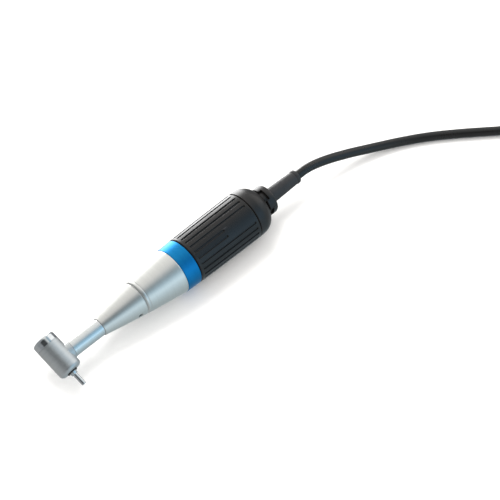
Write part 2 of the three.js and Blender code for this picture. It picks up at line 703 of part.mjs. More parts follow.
// Stator stack with inward teeth, and a winding ring at each end of it.
const statorBore = MAGNET_RADIUS + 0.5;
let stator = ring(statorStart, statorEnd, CAN_BORE - FIT, statorBore, BROAD);
for (let i = 0; i < 6; i += 1) {
  const slot = new THREE.CylinderGeometry(0.8, 0.8, STATOR_LENGTH + 2, 8);
  slot.rotateZ(Math.PI / 2);
  const angle = 2 * Math.PI * i / 6;
  const depth = statorBore + STATOR_SLOT_BAND / 2;
  slot.translate((statorStart + statorEnd) / 2, depth * Math.cos(angle), depth * Math.sin(angle));
  stator = stator.subtract(solid(slot));
}
addPiece('stator_stack', stator, ferrite);
for (const [end, start] of [['front', frontWindingStart], ['rear', rearWindingStart]]) {
  addPiece(`${end}_winding`, turned([
    [start, statorBore + 0.4], [start + WINDING_LENGTH, statorBore + 0.4],
    [start + WINDING_LENGTH, CAN_BORE - 0.9], [start + WINDING_LENGTH - 0.5, CAN_BORE - 0.5],
    [start + 0.5, CAN_BORE - 0.5], [start, CAN_BORE - 0.9],
  ], MEDIUM), copper);
}
addPiece('rotor_magnet', ring(
  statorStart + 0.5, statorEnd - 0.5, MAGNET_RADIUS, MOTOR_SHAFT_RADIUS + FIT, MEDIUM,
), ferrite);
addPiece('motor_shaft', rod(
  driverEnd + FACE_GAP, rearBearingStart + MOTOR_BEARING_WIDTH + 0.8, MOTOR_SHAFT_RADIUS, MEDIUM,
), polishedSteel);

// Round terminal board with three solder posts, behind the motor can.
const boardStart = canEnd + 1.2;
const boardThickness = 1.2;
const domeSpigotRadius = GRIP_BORE - FIT;
const boardRadius = domeSpigotRadius - DOME_WALL - 0.6;
let board = rod(boardStart, boardStart + boardThickness, boardRadius, BROAD);
for (let i = 0; i < 3; i += 1) {
  const angle = 2 * Math.PI * i / 3;
  const post = new THREE.CylinderGeometry(0.5, 0.5, boardThickness + 2.4, 8);
  post.rotateZ(Math.PI / 2);
  post.translate(boardStart + boardThickness / 2 + 0.6, 5 * Math.cos(angle), 5 * Math.sin(angle));
  board = board.add(solid(post));
}
addPiece('terminal_board', board, boardGreen);

// ---------------------------------------------------------------- grip sleeve
const gripShell = turned([
  [GRIP_START, GRIP_BORE],
  [GRIP_END, GRIP_BORE],
  [GRIP_END, GRIP_END_RADIUS - 0.3],
  [GRIP_END - 0.3, GRIP_END_RADIUS],
  [GRIP_START + GRIP_LENGTH * 0.5, (GRIP_START_RADIUS + GRIP_END_RADIUS) / 2 + 0.1],
  [GRIP_START + 0.4, GRIP_START_RADIUS],
  [GRIP_START, GRIP_START_RADIUS - 0.4],
], FINE);

function gripRadius(station) {
  const share = (station - GRIP_START) / GRIP_LENGTH;
  return GRIP_START_RADIUS + (GRIP_END_RADIUS - GRIP_START_RADIUS) * share;
}

// A round-ended groove cutter that follows the grip's taper.
function fluteCutter(start, end, roll) {
  const outline = new THREE.Shape();
  const half = FLUTE_WIDTH / 2;
  outline.absarc(end - half, 0, half, -Math.PI / 2, Math.PI / 2);
  outline.absarc(start + half, 0, half, Math.PI / 2, Math.PI * 1.5);
  const cutter = new THREE.ExtrudeGeometry(outline, {
    depth: FLUTE_DEPTH + 2,
    steps: 1,
    curveSegments: 2,
    bevelEnabled: false,
  });
  const position = cutter.attributes.position;
  for (let i = 0; i < position.count; i += 1) {
    const floor = gripRadius(position.getX(i)) - FLUTE_DEPTH;
    position.setZ(i, position.getZ(i) + floor);
  }
  cutter.rotateX(roll);
  return solid(cutter);
}

let grip = gripShell;
const padStart = GRIP_END - PAD_LENGTH;
for (let i = 0; i < FLUTE_COUNT; i += 1) {
  const roll = FLUTE_PHASE + 2 * Math.PI * i / FLUTE_COUNT;
  const end = PAD_FLUTES.includes(i) ? padStart : GRIP_END - FLUTE_INSET;
  grip = grip.subtract(fluteCutter(GRIP_START + FLUTE_INSET, end, roll));
}
addPiece('grip_sleeve', grip, blackPlastic);

// ---------------------------------------------------------------- rear cap
const domeSide = 3.0;         // nearly straight side before the dome closes in
const domeHole = NUT_SPIGOT_RADIUS + FIT;
const domeArc = (inset, steps) => roundedCorner(
  DOME_START + domeSide, DOME_END_RADIUS - 2.0,
  (DOME_LENGTH - domeSide) - inset, GRIP_END_RADIUS - 0.1 - (DOME_END_RADIUS - 2.0) - inset,
  90, Math.asin(2.0 / (GRIP_END_RADIUS - 0.1 - DOME_END_RADIUS + 2.0)) * 180 / Math.PI, steps,
);
const outerDome = domeArc(0, 7);
const innerDome = domeArc(DOME_WALL, 3).reverse();
addPiece('rear_cap', turned([
  [DOME_START, GRIP_END_RADIUS - 0.35],
  [DOME_START + 0.3, GRIP_END_RADIUS - 0.05],
  ...outerDome,
  [DOME_END, DOME_END_RADIUS - 0.4],
  [DOME_END, domeHole],
  [DOME_END - DOME_WALL - 0.4, domeHole],
  ...innerDome,
  [DOME_START, domeSpigotRadius - DOME_WALL],
  [DOME_START - DOME_SPIGOT, domeSpigotRadius - DOME_WALL],
  [DOME_START - DOME_SPIGOT, domeSpigotRadius],
  [DOME_START - 2.6, domeSpigotRadius],
  [DOME_START - 2.6, domeSpigotRadius - 0.7],
  [DOME_START - 1.2, domeSpigotRadius - 0.7],
  [DOME_START - 1.2, domeSpigotRadius],
  [DOME_START, domeSpigotRadius],
], FINE), matteBlack);
addPiece('rear_seal', ring(
  DOME_START - 2.5, DOME_START - 1.3, domeSpigotRadius - 0.02, domeSpigotRadius - 0.6, BROAD,
), blackRubber);

// ================================================================ cable exit
const sleeveBore = CORD_RADIUS + 0.2;
const sleeveFlange = SLEEVE_START_RADIUS + 1.0;
let nut = turned([
  [NUT_START - NUT_SPIGOT_LENGTH, NUT_SPIGOT_RADIUS - 1.2],
  [SLEEVE_START - 2.6, NUT_SPIGOT_RADIUS - 1.2],
  [SLEEVE_START - 2.6, sleeveFlange + FIT],
  [SLEEVE_START - 0.3, sleeveFlange + FIT],
  [SLEEVE_START - 0.3, SLEEVE_START_RADIUS + FIT],
  [NUT_END, SLEEVE_START_RADIUS + FIT],
  [NUT_END, NUT_RADIUS - 1.5],
  [NUT_END - 0.45, NUT_RADIUS - 0.45],
  [NUT_END - 1.5, NUT_RADIUS],
  [NUT_START + 0.5, NUT_RADIUS],
  [NUT_START, NUT_RADIUS - 0.5],
  [NUT_START, NUT_SPIGOT_RADIUS],
  [NUT_START - NUT_SPIGOT_LENGTH, NUT_SPIGOT_RADIUS],
], FINE);
for (let i = 0; i < NUT_WINDOWS; i += 1) {
  const centre = NUT_WINDOW_CENTRE + 2 * Math.PI * i / NUT_WINDOWS;
  const window = new THREE.Shape();
  window.absarc(0, 0, NUT_RADIUS + 1, -NUT_WINDOW_ARC / 2, NUT_WINDOW_ARC / 2);
  window.absarc(0, 0, NUT_RADIUS - NUT_WINDOW_DEPTH, NUT_WINDOW_ARC / 2, -NUT_WINDOW_ARC / 2, true);
  const opening = new THREE.ExtrudeGeometry(window, {
    depth: NUT_WINDOW_LENGTH, steps: 1, curveSegments: 4, bevelEnabled: false,
  });
  opening.rotateY(-Math.PI / 2);
  opening.rotateX(centre);
  opening.translate(NUT_START + NUT_WINDOW_LENGTH - 0.1, 0, 0);
  nut = nut.subtract(solid(opening));
}
addPiece('cable_nut', nut, matteBlack);

addPiece('strain_relief', turned([
  [SLEEVE_START - 2.3, sleeveBore],
  [SLEEVE_END, sleeveBore],
  [SLEEVE_END, SLEEVE_END_RADIUS],
  [SLEEVE_END - 0.4, SLEEVE_END_RADIUS + SLEEVE_LIP],
  [SLEEVE_END - 1.6, SLEEVE_END_RADIUS + SLEEVE_LIP],
  [SLEEVE_END - 2.0, SLEEVE_END_RADIUS],
  [NUT_END - 0.3, SLEEVE_START_RADIUS],
  [SLEEVE_START - 0.6, SLEEVE_START_RADIUS],
  [SLEEVE_START - 0.6, sleeveFlange],
  [SLEEVE_START - 2.3, sleeveFlange],
], BROAD), blackRubber);

const leadStart = NUT_START - NUT_SPIGOT_LENGTH + 1;
addPiece('cord_lead_in', rod(leadStart, SLEEVE_END - 0.1, CORD_RADIUS, COARSE), blackRubber);
addPiece('cord_clamp', ring(
  leadStart + 0.3, leadStart + 3.0, NUT_SPIGOT_RADIUS - 1.2 - FIT, CORD_RADIUS + FIT, MEDIUM,
), satinSteel);

// ================================================================ placing
// The handpiece rests on its grip with the frame's origin under its middle.
const extent = new THREE.Box3().setFromObject(group);
const shift = new THREE.Vector3(
  -(extent.min.x + extent.max.x) / 2,
  -(extent.min.y + extent.max.y) / 2,
  -extent.min.z,
);
for (const mesh of group.children) mesh.position.add(shift);

// ================================================================ the cord
// From here on everything is drawn in the frame itself, on the surface z = 0.
const exit = new THREE.Vector3(SLEEVE_END, 0, 0).add(shift);

// The cord's round section swept along a curve.
function sweptCord(curve, steps) {
  const section = new THREE.Shape();
  section.absarc(0, 0, CORD_RADIUS, 0, Math.PI * 2);
  return solid(new THREE.ExtrudeGeometry(section, { steps, curveSegments: 5, extrudePath: curve }));
}

// Route from the sleeve to the coil: the way along X and Y from the sleeve's
// end, and the share of the sleeve's height that is left there.
const CORD_ROUTE = [
  [0.3, 0, 1], [6.5, 0, 0.99], [13.4, -0.7, 0.9], [22.4, -2.4, 0.73], [28.8, -3.9, 0.58],
  [35.2, -5.6, 0.43], [43.3, -8.3, 0.26], [51.2, -11.3, 0.13], [62.0, -16.2, 0.03],
  [75.3, -24.0, 0], [87.6, -32.9, 0], [99.8, -42.6, 0], [106.3, -47.8, 0], [113.6, -52.5, 0],
  [122.5, -56.0, 0], [133.0, -57.6, 0], [147.0, -57.6, 0], [160.0, -57.6, 0.02], [175.4, -57.6, 0.06],
];
const cordFloor = CORD_RADIUS + 0.1;
const cordPoints = CORD_ROUTE.map(([x, y, lift]) => new THREE.Vector3(
  exit.x + x, exit.y + y, cordFloor + lift * (exit.z - cordFloor),
));
addPiece('cord_run', sweptCord(new THREE.CatmullRomCurve3(cordPoints), 30), blackRubber);

// The rest of the cord lies in a tied coil, three turns wide and three high.
const bundle = 3 * CORD_PITCH;
const coilInner = COIL_MIDDLE_RADIUS - bundle / 2;
const coilOuter = COIL_MIDDLE_RADIUS + bundle / 2;
const coilBottom = TIE_THICKNESS + FACE_GAP;
const coilTop = coilBottom + bundle;
const coilX = exit.x + COIL_OFFSET.x;
const coilY = exit.y + COIL_OFFSET.y;
const coilCorner = 1.6;
const coilProfile = [
  [coilInner + coilCorner, coilBottom], [coilOuter - coilCorner, coilBottom],
  [coilOuter, coilBottom + coilCorner], [coilOuter, coilTop - coilCorner],
  [coilOuter - coilCorner, coilTop], [coilInner + coilCorner, coilTop],
  [coilInner, coilTop - coilCorner], [coilInner, coilBottom + coilCorner],
].map(([radius, height]) => new THREE.Vector2(radius, height));
coilProfile.push(coilProfile[0].clone());
const coilRing = new THREE.LatheGeometry(coilProfile, BROAD);
coilRing.rotateX(Math.PI / 2);
coilRing.translate(coilX, coilY, 0);
addPiece('cord_coil', solid(coilRing), blackRubber);

// The tie is a band around the bundle, on the side of the coil away from the plug.
// It is wider across the bundle than the bundle is, because the coil curves inside it.
const tieHigh = bundle / 2 + FACE_GAP;
const tieWide = tieHigh + TIE_WIDTH ** 2 / (8 * coilInner) + 0.1;
const tieShape = new THREE.Shape();
const tieHole = new THREE.Path();
const tieOutline = (path, wide, high) => {
  path.moveTo(-wide, -high);
  path.lineTo(wide, -high);
  path.lineTo(wide, high);
  path.lineTo(-wide, high);
  path.closePath();
};
tieOutline(tieShape, tieWide + TIE_THICKNESS, tieHigh + TIE_THICKNESS);
tieOutline(tieHole, tieWide, tieHigh);
tieShape.holes.push(tieHole);
const tie = new THREE.ExtrudeGeometry(tieShape, { depth: TIE_WIDTH, bevelEnabled: false });
tie.translate(0, 0, -TIE_WIDTH / 2);
tie.rotateX(Math.PI / 2);
tie.rotateZ(Math.PI / 2);
tie.translate(coilX, coilY + COIL_MIDDLE_RADIUS, coilBottom + bundle / 2);
addPiece('coil_tie', solid(tie), matteBlack);

// The cord leaves the coil's outer middle turn at the height of the plug.
const plugY = coilY - (COIL_MIDDLE_RADIUS + CORD_PITCH);
const plugZ = PLUG_RADIUS;
const inner = COIL_MIDDLE_RADIUS + CORD_PITCH - CORD_RADIUS;
const tailStart = coilX + Math.sqrt(coilOuter ** 2 - inner ** 2) + 2 * FACE_GAP;
const tailEnd = tailStart + TAIL_LENGTH;
const tailPath = new THREE.LineCurve3(
  new THREE.Vector3(tailStart, plugY, plugZ), new THREE.Vector3(tailEnd, plugY, plugZ),
);
addPiece('cord_tail', sweptCord(tailPath, 2), blackRubber);

function onPlug(body) {
  return body.translate([tailEnd + FACE_GAP, plugY, plugZ]);
}
const plugRelief = 11;
const plugBodyStart = plugRelief + FACE_GAP;
const plugBodyEnd = plugBodyStart + 15;
const plugCollarEnd = plugBodyEnd + FACE_GAP + PLUG_COLLAR_LENGTH;
const insertEnd = plugCollarEnd - PLUG_SOCKET_DEPTH;
const plugThroat = 5.2;
addPiece('plug_strain_relief', onPlug(turned([
  [0, 0], [0, CORD_RADIUS + 0.9], [plugRelief - 2, CORD_RADIUS + 1.7], [plugRelief - 2, plugThroat],
  [plugRelief, plugThroat], [plugRelief, 0],
], MEDIUM)), blackRubber);
addPiece('plug_body', onPlug(turned([
  [plugBodyStart, 0], [plugBodyStart, PLUG_RADIUS - 1.6], [plugBodyStart + 1.6, PLUG_RADIUS - 0.4],
  [plugBodyEnd, PLUG_RADIUS - 0.4], [plugBodyEnd, 0],
], BROAD)), matteBlack);
addPiece('plug_collar', onPlug(ring(
  plugBodyEnd + FACE_GAP, plugCollarEnd, PLUG_RADIUS, PLUG_RADIUS - 1.6, BROAD,
)), satinSteel);
let insert = rod(plugBodyEnd + FACE_GAP, insertEnd, PLUG_RADIUS - 2, BROAD);
for (let i = 0; i < PLUG_PINS; i += 1) {
  const angle = 2 * Math.PI * i / PLUG_PINS;
  const pin = new THREE.CylinderGeometry(0.5, 0.5, PLUG_PIN_LENGTH + 1, 8);
  pin.rotateZ(Math.PI / 2);
  pin.translate(insertEnd + (PLUG_PIN_LENGTH - 1) / 2, 3.2 * Math.cos(angle), 3.2 * Math.sin(angle));
  insert = insert.add(solid(pin));
}
addPiece('plug_insert', onPlug(insert), paleInsulator);

export default group;
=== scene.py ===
"""The dental motor handpiece: fine outside pieces, cord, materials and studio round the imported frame.

Sizes are in millimetres. Lengths along the handpiece are stations, measured from the point
where the neck's axis crosses the head's axis, as in the part's own source.
"""
import json
import math

import bmesh
import bpy
from mathutils import Matrix, Vector


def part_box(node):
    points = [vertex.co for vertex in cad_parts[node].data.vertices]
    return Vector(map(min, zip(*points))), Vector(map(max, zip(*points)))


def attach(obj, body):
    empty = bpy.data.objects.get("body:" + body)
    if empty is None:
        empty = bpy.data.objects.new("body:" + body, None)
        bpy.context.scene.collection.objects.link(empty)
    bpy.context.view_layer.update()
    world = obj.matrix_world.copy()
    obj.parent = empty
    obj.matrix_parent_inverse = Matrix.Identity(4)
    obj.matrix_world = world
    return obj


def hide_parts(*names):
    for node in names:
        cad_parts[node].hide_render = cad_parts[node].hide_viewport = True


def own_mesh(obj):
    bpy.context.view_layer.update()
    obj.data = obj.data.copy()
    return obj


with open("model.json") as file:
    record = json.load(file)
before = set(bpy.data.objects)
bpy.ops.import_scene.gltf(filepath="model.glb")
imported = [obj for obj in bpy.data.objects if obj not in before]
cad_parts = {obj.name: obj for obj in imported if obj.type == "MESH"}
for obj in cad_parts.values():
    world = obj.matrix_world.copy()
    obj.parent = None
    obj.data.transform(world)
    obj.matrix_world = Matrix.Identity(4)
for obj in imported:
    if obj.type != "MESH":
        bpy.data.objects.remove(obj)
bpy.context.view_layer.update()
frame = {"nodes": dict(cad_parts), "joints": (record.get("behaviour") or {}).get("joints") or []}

MM = 0.001
MERGE_GAP = 0.000002

# ------------------------------------------------------------------ axes
GRIP_START = 80.4
grip_low, grip_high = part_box("grip_sleeve")
grip_middle = (grip_low + grip_high) / 2
CROSSING = Vector((grip_low.x - GRIP_START * MM, grip_middle.y, grip_middle.z))
ALONG = Vector((1.0, 0.0, 0.0))
tool_joint = next(joint for joint in frame["joints"] if joint["name"] == "tool_release")
TOOL_AXIS = Vector(tool_joint["axis"]).normalized()
TOWARDS_MOTOR = (ALONG - TOOL_AXIS * TOOL_AXIS.x).normalized()
ACROSS_HEAD = TOOL_AXIS.cross(TOWARDS_MOTOR)


def radial(roll):
    """The direction at an angle from straight up, turning towards -Y."""
    return Vector((0.0, -math.sin(roll), math.cos(roll)))


MOTOR_LINE = (CROSSING, ALONG, radial(0.0))
HEAD_LINE = (CROSSING, TOOL_AXIS, TOWARDS_MOTOR)

# ------------------------------------------------------------------ camera
# A long lens from above and in front of the head's left, aimed at the middle of the view.
CAMERA_ELEVATION = math.radians(54.44)
CAMERA_AZIMUTH = math.radians(-43.87)
CAMERA_DISTANCE = 0.8
CAMERA_TARGET = Vector((0.03948, -0.00878, 0.0))
CAMERA_LENS = 113.74
CAMERA_SENSOR = 36.0

towards_camera = Vector((
    math.sin(CAMERA_AZIMUTH) * math.cos(CAMERA_ELEVATION),
    -math.cos(CAMERA_AZIMUTH) * math.cos(CAMERA_ELEVATION),
    math.sin(CAMERA_ELEVATION),
))
camera_right = Vector((math.cos(CAMERA_AZIMUTH), math.sin(CAMERA_AZIMUTH), 0.0))
camera_up = towards_camera.cross(camera_right)
camera_place = CAMERA_TARGET + towards_camera * CAMERA_DISTANCE
bpy.ops.object.camera_add()
camera = bpy.context.object
camera.name = "studio_camera"
camera.matrix_world = Matrix((
    (camera_right.x, camera_up.x, towards_camera.x, camera_place.x),
    (camera_right.y, camera_up.y, towards_camera.y, camera_place.y),
    (camera_right.z, camera_up.z, towards_camera.z, camera_place.z),
    (0.0, 0.0, 0.0, 1.0),
))
camera.data.sensor_width = CAMERA_SENSOR
camera.data.lens = CAMERA_LENS
camera.data.clip_end = 20.0
bpy.context.scene.camera = camera

# ------------------------------------------------------------------ the cord's line
CORD_RADIUS = 2.5
CORD_PITCH = 5.1
SLEEVE_END = 157.8
CORD_FLOOR = CORD_RADIUS + 0.1
# Each point: mm behind the bend sleeve, mm to its side, and the share of the exit's height left.
CORD_ROUTE = [
    (0.3, 0.0, 1.0), (6.5, 0.0, 0.99), (13.4, -0.7, 0.9), (22.4, -2.4, 0.73), (28.8, -3.9, 0.58),
    (35.2, -5.6, 0.43), (43.3, -8.3, 0.26), (51.2, -11.3, 0.13), (62.0, -16.2, 0.03),
    (75.3, -24.0, 0.0), (87.6, -32.9, 0.0), (99.8, -42.6, 0.0), (106.3, -47.8, 0.0),
    (113.6, -52.5, 0.0), (122.5, -56.0, 0.0), (133.0, -57.6, 0.0), (147.0, -57.6, 0.0),
    (160.0, -57.6, 0.02), (175.4, -57.6, 0.06),
]
COIL_MIDDLE_RADIUS = 26.0
COIL_OFFSET = Vector((193.5, -26.5, 0.0))
COIL_BOTTOM_ROW = 3.2
# The slots of the bundle in the order the cord fills them: column outwards, row upwards.
COIL_SLOTS = [(2, 0), (1, 0), (0, 0), (0, 1), (0, 2), (1, 2), (2, 2), (1, 1), (2, 1)]
SLOT_ARC = 320
SLOT_STEP = 20
PLUG_HEIGHT = 8.0
TAIL_REACH = 32.4
CORD_SMOOTHNESS = 6

cord_exit = CROSSING + ALONG * SLEEVE_END * MM
coil_centre = Vector((cord_exit.x, cord_exit.y, 0.0)) + COIL_OFFSET * MM
inside_sleeve = cord_exit - ALONG * 1.0 * MM
cord_points = [inside_sleeve]
for along, aside, lift in CORD_ROUTE:
    height = CORD_FLOOR * MM + lift * (cord_exit.z - CORD_FLOOR * MM)
    cord_points.append(Vector((cord_exit.x + along * MM, cord_exit.y + aside * MM, height)))


def slot_place(index):
    """Radius and height of one slot of the coil's bundle."""
    column, row = COIL_SLOTS[index]
    return COIL_MIDDLE_RADIUS + (column - 1) * CORD_PITCH, COIL_BOTTOM_ROW + row * CORD_PITCH


for turned_by in range(0, SLOT_ARC * len(COIL_SLOTS) + 1, SLOT_STEP):
    slot_index = min(turned_by // SLOT_ARC, len(COIL_SLOTS) - 1)
    radius, height = slot_place(slot_index)
    if turned_by % SLOT_ARC == 0 and 0 < turned_by < SLOT_ARC * len(COIL_SLOTS):
        before = slot_place(slot_index - 1)
        radius, height = (radius + before[0]) / 2, (height + before[1]) / 2
    angle = math.radians(turned_by - 90)
    outward = Vector((math.cos(angle), math.sin(angle), 0.0))
    cord_points.append(coil_centre + outward * radius * MM + Vector((0.0, 0.0, height * MM)))
tail_y = cord_points[-1].y
for reach in (9.0, 18.3, 25.0, TAIL_REACH):
    cord_points.append(Vector((coil_centre.x + reach * MM, tail_y, PLUG_HEIGHT * MM)))

cord_curve = bpy.data.curves.new("cord", "CURVE")
cord_curve.dimensions = "3D"
cord_line = cord_curve.splines.new("BEZIER")
cord_line.bezier_points.add(len(cord_points) - 1)
for knot, place in zip(cord_line.bezier_points, cord_points):
    knot.co = place
    knot.handle_left_type = "AUTO"
    knot.handle_right_type = "AUTO"
cord_line.resolution_u = CORD_SMOOTHNESS
cord_curve.bevel_depth = CORD_RADIUS * MM
cord_curve.bevel_resolution = CORD_SMOOTHNESS
cord_curve.use_fill_caps = True
cord = bpy.data.objects.new("cord", cord_curve)
bpy.context.scene.collection.objects.link(cord)


# ------------------------------------------------------------------ modelling
def deselect():
    bpy.ops.object.select_all(action="DESELECT")


def pick(piece):
    """Makes one object the only selected and the active one."""
    deselect()
    piece.select_set(True)
    bpy.context.view_layer.objects.active = piece


def editing(piece):
    """Opens a piece in edit mode with every corner selected."""
    pick(piece)
    bpy.ops.object.mode_set(mode="EDIT")
    bpy.ops.mesh.select_mode(type="VERT")
    bpy.ops.mesh.select_all(action="SELECT")


def editing_done():
    bpy.ops.object.mode_set(mode="OBJECT")


def closed_up():
    """Merges the corners that meet, turns the faces outwards and leaves edit mode."""
    bpy.ops.mesh.select_all(action="SELECT")
    bpy.ops.mesh.remove_doubles(threshold=MERGE_GAP)
    bpy.ops.mesh.normals_make_consistent(inside=False)
    editing_done()


def traced(name, points):
    """A new piece left in edit mode: one corner, extruded from point to point."""
    deselect()
    bpy.ops.mesh.primitive_plane_add(size=MM)
    piece = bpy.context.object
    piece.name = name
    piece.data.name = name
    editing(piece)
    bpy.ops.mesh.merge(type="CENTER")
    bpy.ops.transform.translate(value=points[0])
    for start, end in zip(points, points[1:]):
        bpy.ops.mesh.extrude_region_move(TRANSFORM_OT_translate={"value": end - start})
    bpy.ops.mesh.select_all(action="SELECT")
    return piece


def choose(piece, kind, test):
    """In edit mode, selects only the vertices or faces that pass the test."""
    bpy.ops.mesh.select_mode(type=kind)
    bpy.ops.mesh.select_all(action="DESELECT")
    shape = bmesh.from_edit_mesh(piece.data)
    for part in shape.verts if kind == "VERT" else shape.faces:
        if test(part):
            part.select_set(True)
    shape.select_flush_mode()
    bmesh.update_edit_mesh(piece.data)


def spun(name, outline, line=MOTOR_LINE, steps=96):
    """A turned piece: one corner is extruded along the outline, then the outline is spun."""
    origin, along, across = line
    points = [origin + (along * station + across * radius) * MM for station, radius in outline]
    # An outline that starts and ends on the axis is left open, because the spin closes it.
    on_axis = outline[0][1] == 0 and outline[-1][1] == 0
    piece = traced(name, points if on_axis else points + points[:1])
    bpy.ops.mesh.spin(steps=steps, angle=2 * math.pi, center=origin, axis=along, dupli=False)
    closed_up()
    return piece


def modified(piece, kind, **settings):
    """Adds a modifier with its settings, and applies it."""
    pick(piece)
    bpy.ops.object.modifier_add(type=kind)
    modifier = piece.modifiers[-1]
    for name, value in settings.items():
        setattr(modifier, name, value)
    bpy.ops.object.modifier_apply(modifier=modifier.name)


def combine(piece, other, operation="DIFFERENCE"):
    """Cuts one solid out of another, or joins it on, and removes the second."""
    modified(piece, "BOOLEAN", operation=operation, solver="EXACT", object=other)
    bpy.data.objects.remove(other)


SMOOTH_UP_TO = 38


def soften(piece, width=0.12, segments=2, above=34.0):
    """Rounds the sharp edges a little, as a deburred or moulded edge is, and smooths the rest."""
    if width:
        modified(piece, "BEVEL", width=width * MM, segments=segments, limit_method="ANGLE",
                 angle_limit=math.radians(above), use_clamp_overlap=False)
    pick(piece)
    bpy.ops.object.shade_smooth_by_angle(angle=math.radians(SMOOTH_UP_TO))
    modified(piece, "WEIGHTED_NORMAL", keep_sharp=True)


def turned_copy(piece, origin, axis, angle):
    """A copy with its own mesh, turned round an axis."""
    copy = piece.copy()
    copy.data = piece.data.copy()
    bpy.context.scene.collection.objects.link(copy)
    turn = Matrix.Translation(origin) @ Matrix.Rotation(angle, 4, axis) @ Matrix.Translation(-origin)
    copy.data.transform(turn)
    return copy


def joined(pieces):
    """One object of several."""
    deselect()
    for piece in pieces:
        piece.select_set(True)
    bpy.context.view_layer.objects.active = pieces[0]
    bpy.ops.object.join()
    return pieces[0]


def around(piece, count, line, turn=0.0):
    """Copies of a piece set round an axis, joined into one object."""
    origin, along, _ = line
    copies = [turned_copy(piece, origin, along, turn + 2 * math.pi * i / count) for i in range(count)]
    bpy.data.objects.remove(piece)
    return joined(copies)


def arc(station, radius, along, across, start, end, steps):
    """Points on a part of an ellipse, from a start angle to an end angle in degrees."""
    points = []
    for i in range(steps + 1):
        angle = math.radians(start + (end - start) * i / steps)
        points.append((station + along * math.cos(angle), radius + across * math.sin(angle)))
    return points


def block(name, centre, size, line):
    """A block drawn along an axis line: centre and size along, across and aside."""
    origin, along, across = line
    aside = along.cross(across)
    deselect()
    bpy.ops.mesh.primitive_cube_add(size=1.0)
    piece = bpy.context.object
    piece.name = name
    basis = Matrix((along * size[0], across * size[1], aside * size[2])).transposed().to_4x4()
    middle = origin + (along * centre[0] + across * centre[1] + aside * centre[2]) * MM
    basis = Matrix.Translation(middle) @ Matrix.Scale(MM, 4) @ basis
    piece.data.transform(basis)
    if basis.determinant() < 0:
        piece.data.flip_normals()
    return piece


# ------------------------------------------------------------------ materials
def to_linear(code):
    """A colour from its sRGB hex code to the linear values that a shader takes."""
    values = [int(code[i:i + 2], 16) / 255 for i in (1, 3, 5)]
    return [v / 12.92 if v <= 0.04045 else ((v + 0.055) / 1.055) ** 2.4 for v in values] + [1.0]


def put(tree, kind, sockets=None, stops=None, **settings):
    """Adds a node with its settings, the values or links of its sockets, and a ramp's stops.

    A socket that is given a node is linked to that node's first output.
    """
    node = tree.nodes.new(kind)
    for name, value in settings.items():
        setattr(node, name, value)
    for name, value in (sockets or {}).items():
        if isinstance(value, bpy.types.Node):
            value = value.outputs[0]
        if isinstance(value, bpy.types.NodeSocket):
            tree.links.new(value, node.inputs[name])
        else:
            node.inputs[name].default_value = value
    if stops:
        ramp = node.color_ramp
        while len(ramp.elements) < len(stops):
            ramp.elements.new(0.5)
        for element, (position, value) in zip(ramp.elements, stops):
            element.position = position
            element.color = to_linear(value) if isinstance(value, str) else (value, value, value, 1.0)
    return node


def new_material(name):
    material = bpy.data.materials.new(name)
    material.use_nodes = True
    material.node_tree.nodes.clear()
    return material, material.node_tree


def close_material(tree, sockets, height=None, bump=0.0, depth=0.0):
    """The shader and the output of a material, with its relief where it has one: depth in mm."""
    if height:
        relief = put(tree, "ShaderNodeBump", {"Height": height, "Strength": bump, "Distance": depth * MM})
        sockets = {**sockets, "Normal": relief}
    shader = put(tree, "ShaderNodeBsdfPrincipled", sockets)
    put(tree, "ShaderNodeOutputMaterial", {"Surface": shader})


def axis_vector(tree, line):
    """Object coordinates, moved and turned so that X runs along the given axis line."""
    origin, along, across = line
    turn = Matrix((along, across, along.cross(across)))
    coordinates = put(tree, "ShaderNodeTexCoord")
    return put(tree, "ShaderNodeMapping", {
        "Vector": coordinates.outputs["Object"],
        "Location": -(turn @ origin),
        "Rotation": turn.to_euler(),
    }).outputs["Vector"]


METAL_RELIEF = 0.02


def metal(name, dark, light, roughness, line=MOTOR_LINE, lines=0.3, grain=0.45, bump=0.25, spread=0.06):
    """A worked metal: lines are the tool marks' spacing and grain the blasted or lapped grain, in mm."""
    material, tree = new_material(name)
    place = axis_vector(tree, line)
    # Tool marks run round the axis, so the pattern is fine along X and stretched across it.
    stretch = put(tree, "ShaderNodeVectorMath", {0: place, 1: (1.0, 0.04, 0.04)}, operation="MULTIPLY")
    marks = put(tree, "ShaderNodeTexNoise", {
        "Vector": stretch, "Scale": 1 / (2 * lines * MM), "Detail": 3.0, "Roughness": 0.6,
    })
    pits = put(tree, "ShaderNodeTexNoise", {
        "Vector": place, "Scale": 1 / (2 * grain * MM), "Detail": 4.0, "Roughness": 0.65,
    })
    cloud = put(tree, "ShaderNodeTexNoise", {"Vector": place, "Scale": 1 / (14 * MM), "Detail": 2.0})
    mixed = put(tree, "ShaderNodeMath", {0: marks, 1: pits}, operation="ADD")
    tone = put(tree, "ShaderNodeMath", {0: mixed, 1: cloud}, operation="ADD")
    colour = put(tree, "ShaderNodeMapRange", {
        "Value": tone, "From Min": 1.0, "From Max": 2.0, "To Min": 0.0, "To Max": 1.0,
    })
    ramp = put(tree, "ShaderNodeValToRGB", {"Fac": colour}, stops=[(0.0, dark), (1.0, light)])
    rough = put(tree, "ShaderNodeMapRange", {
        "Value": tone, "From Min": 1.0, "From Max": 2.0,
        "To Min": max(0.03, roughness - spread), "To Max": roughness + spread,
    })
    close_material(tree, {
        "Base Color": ramp,
        "Metallic": 1.0,
        "Roughness": rough,
    }, mixed, bump, METAL_RELIEF)
    return material


# How far a moulding's roughness strays either way.
MOULD_SPREAD = 0.07


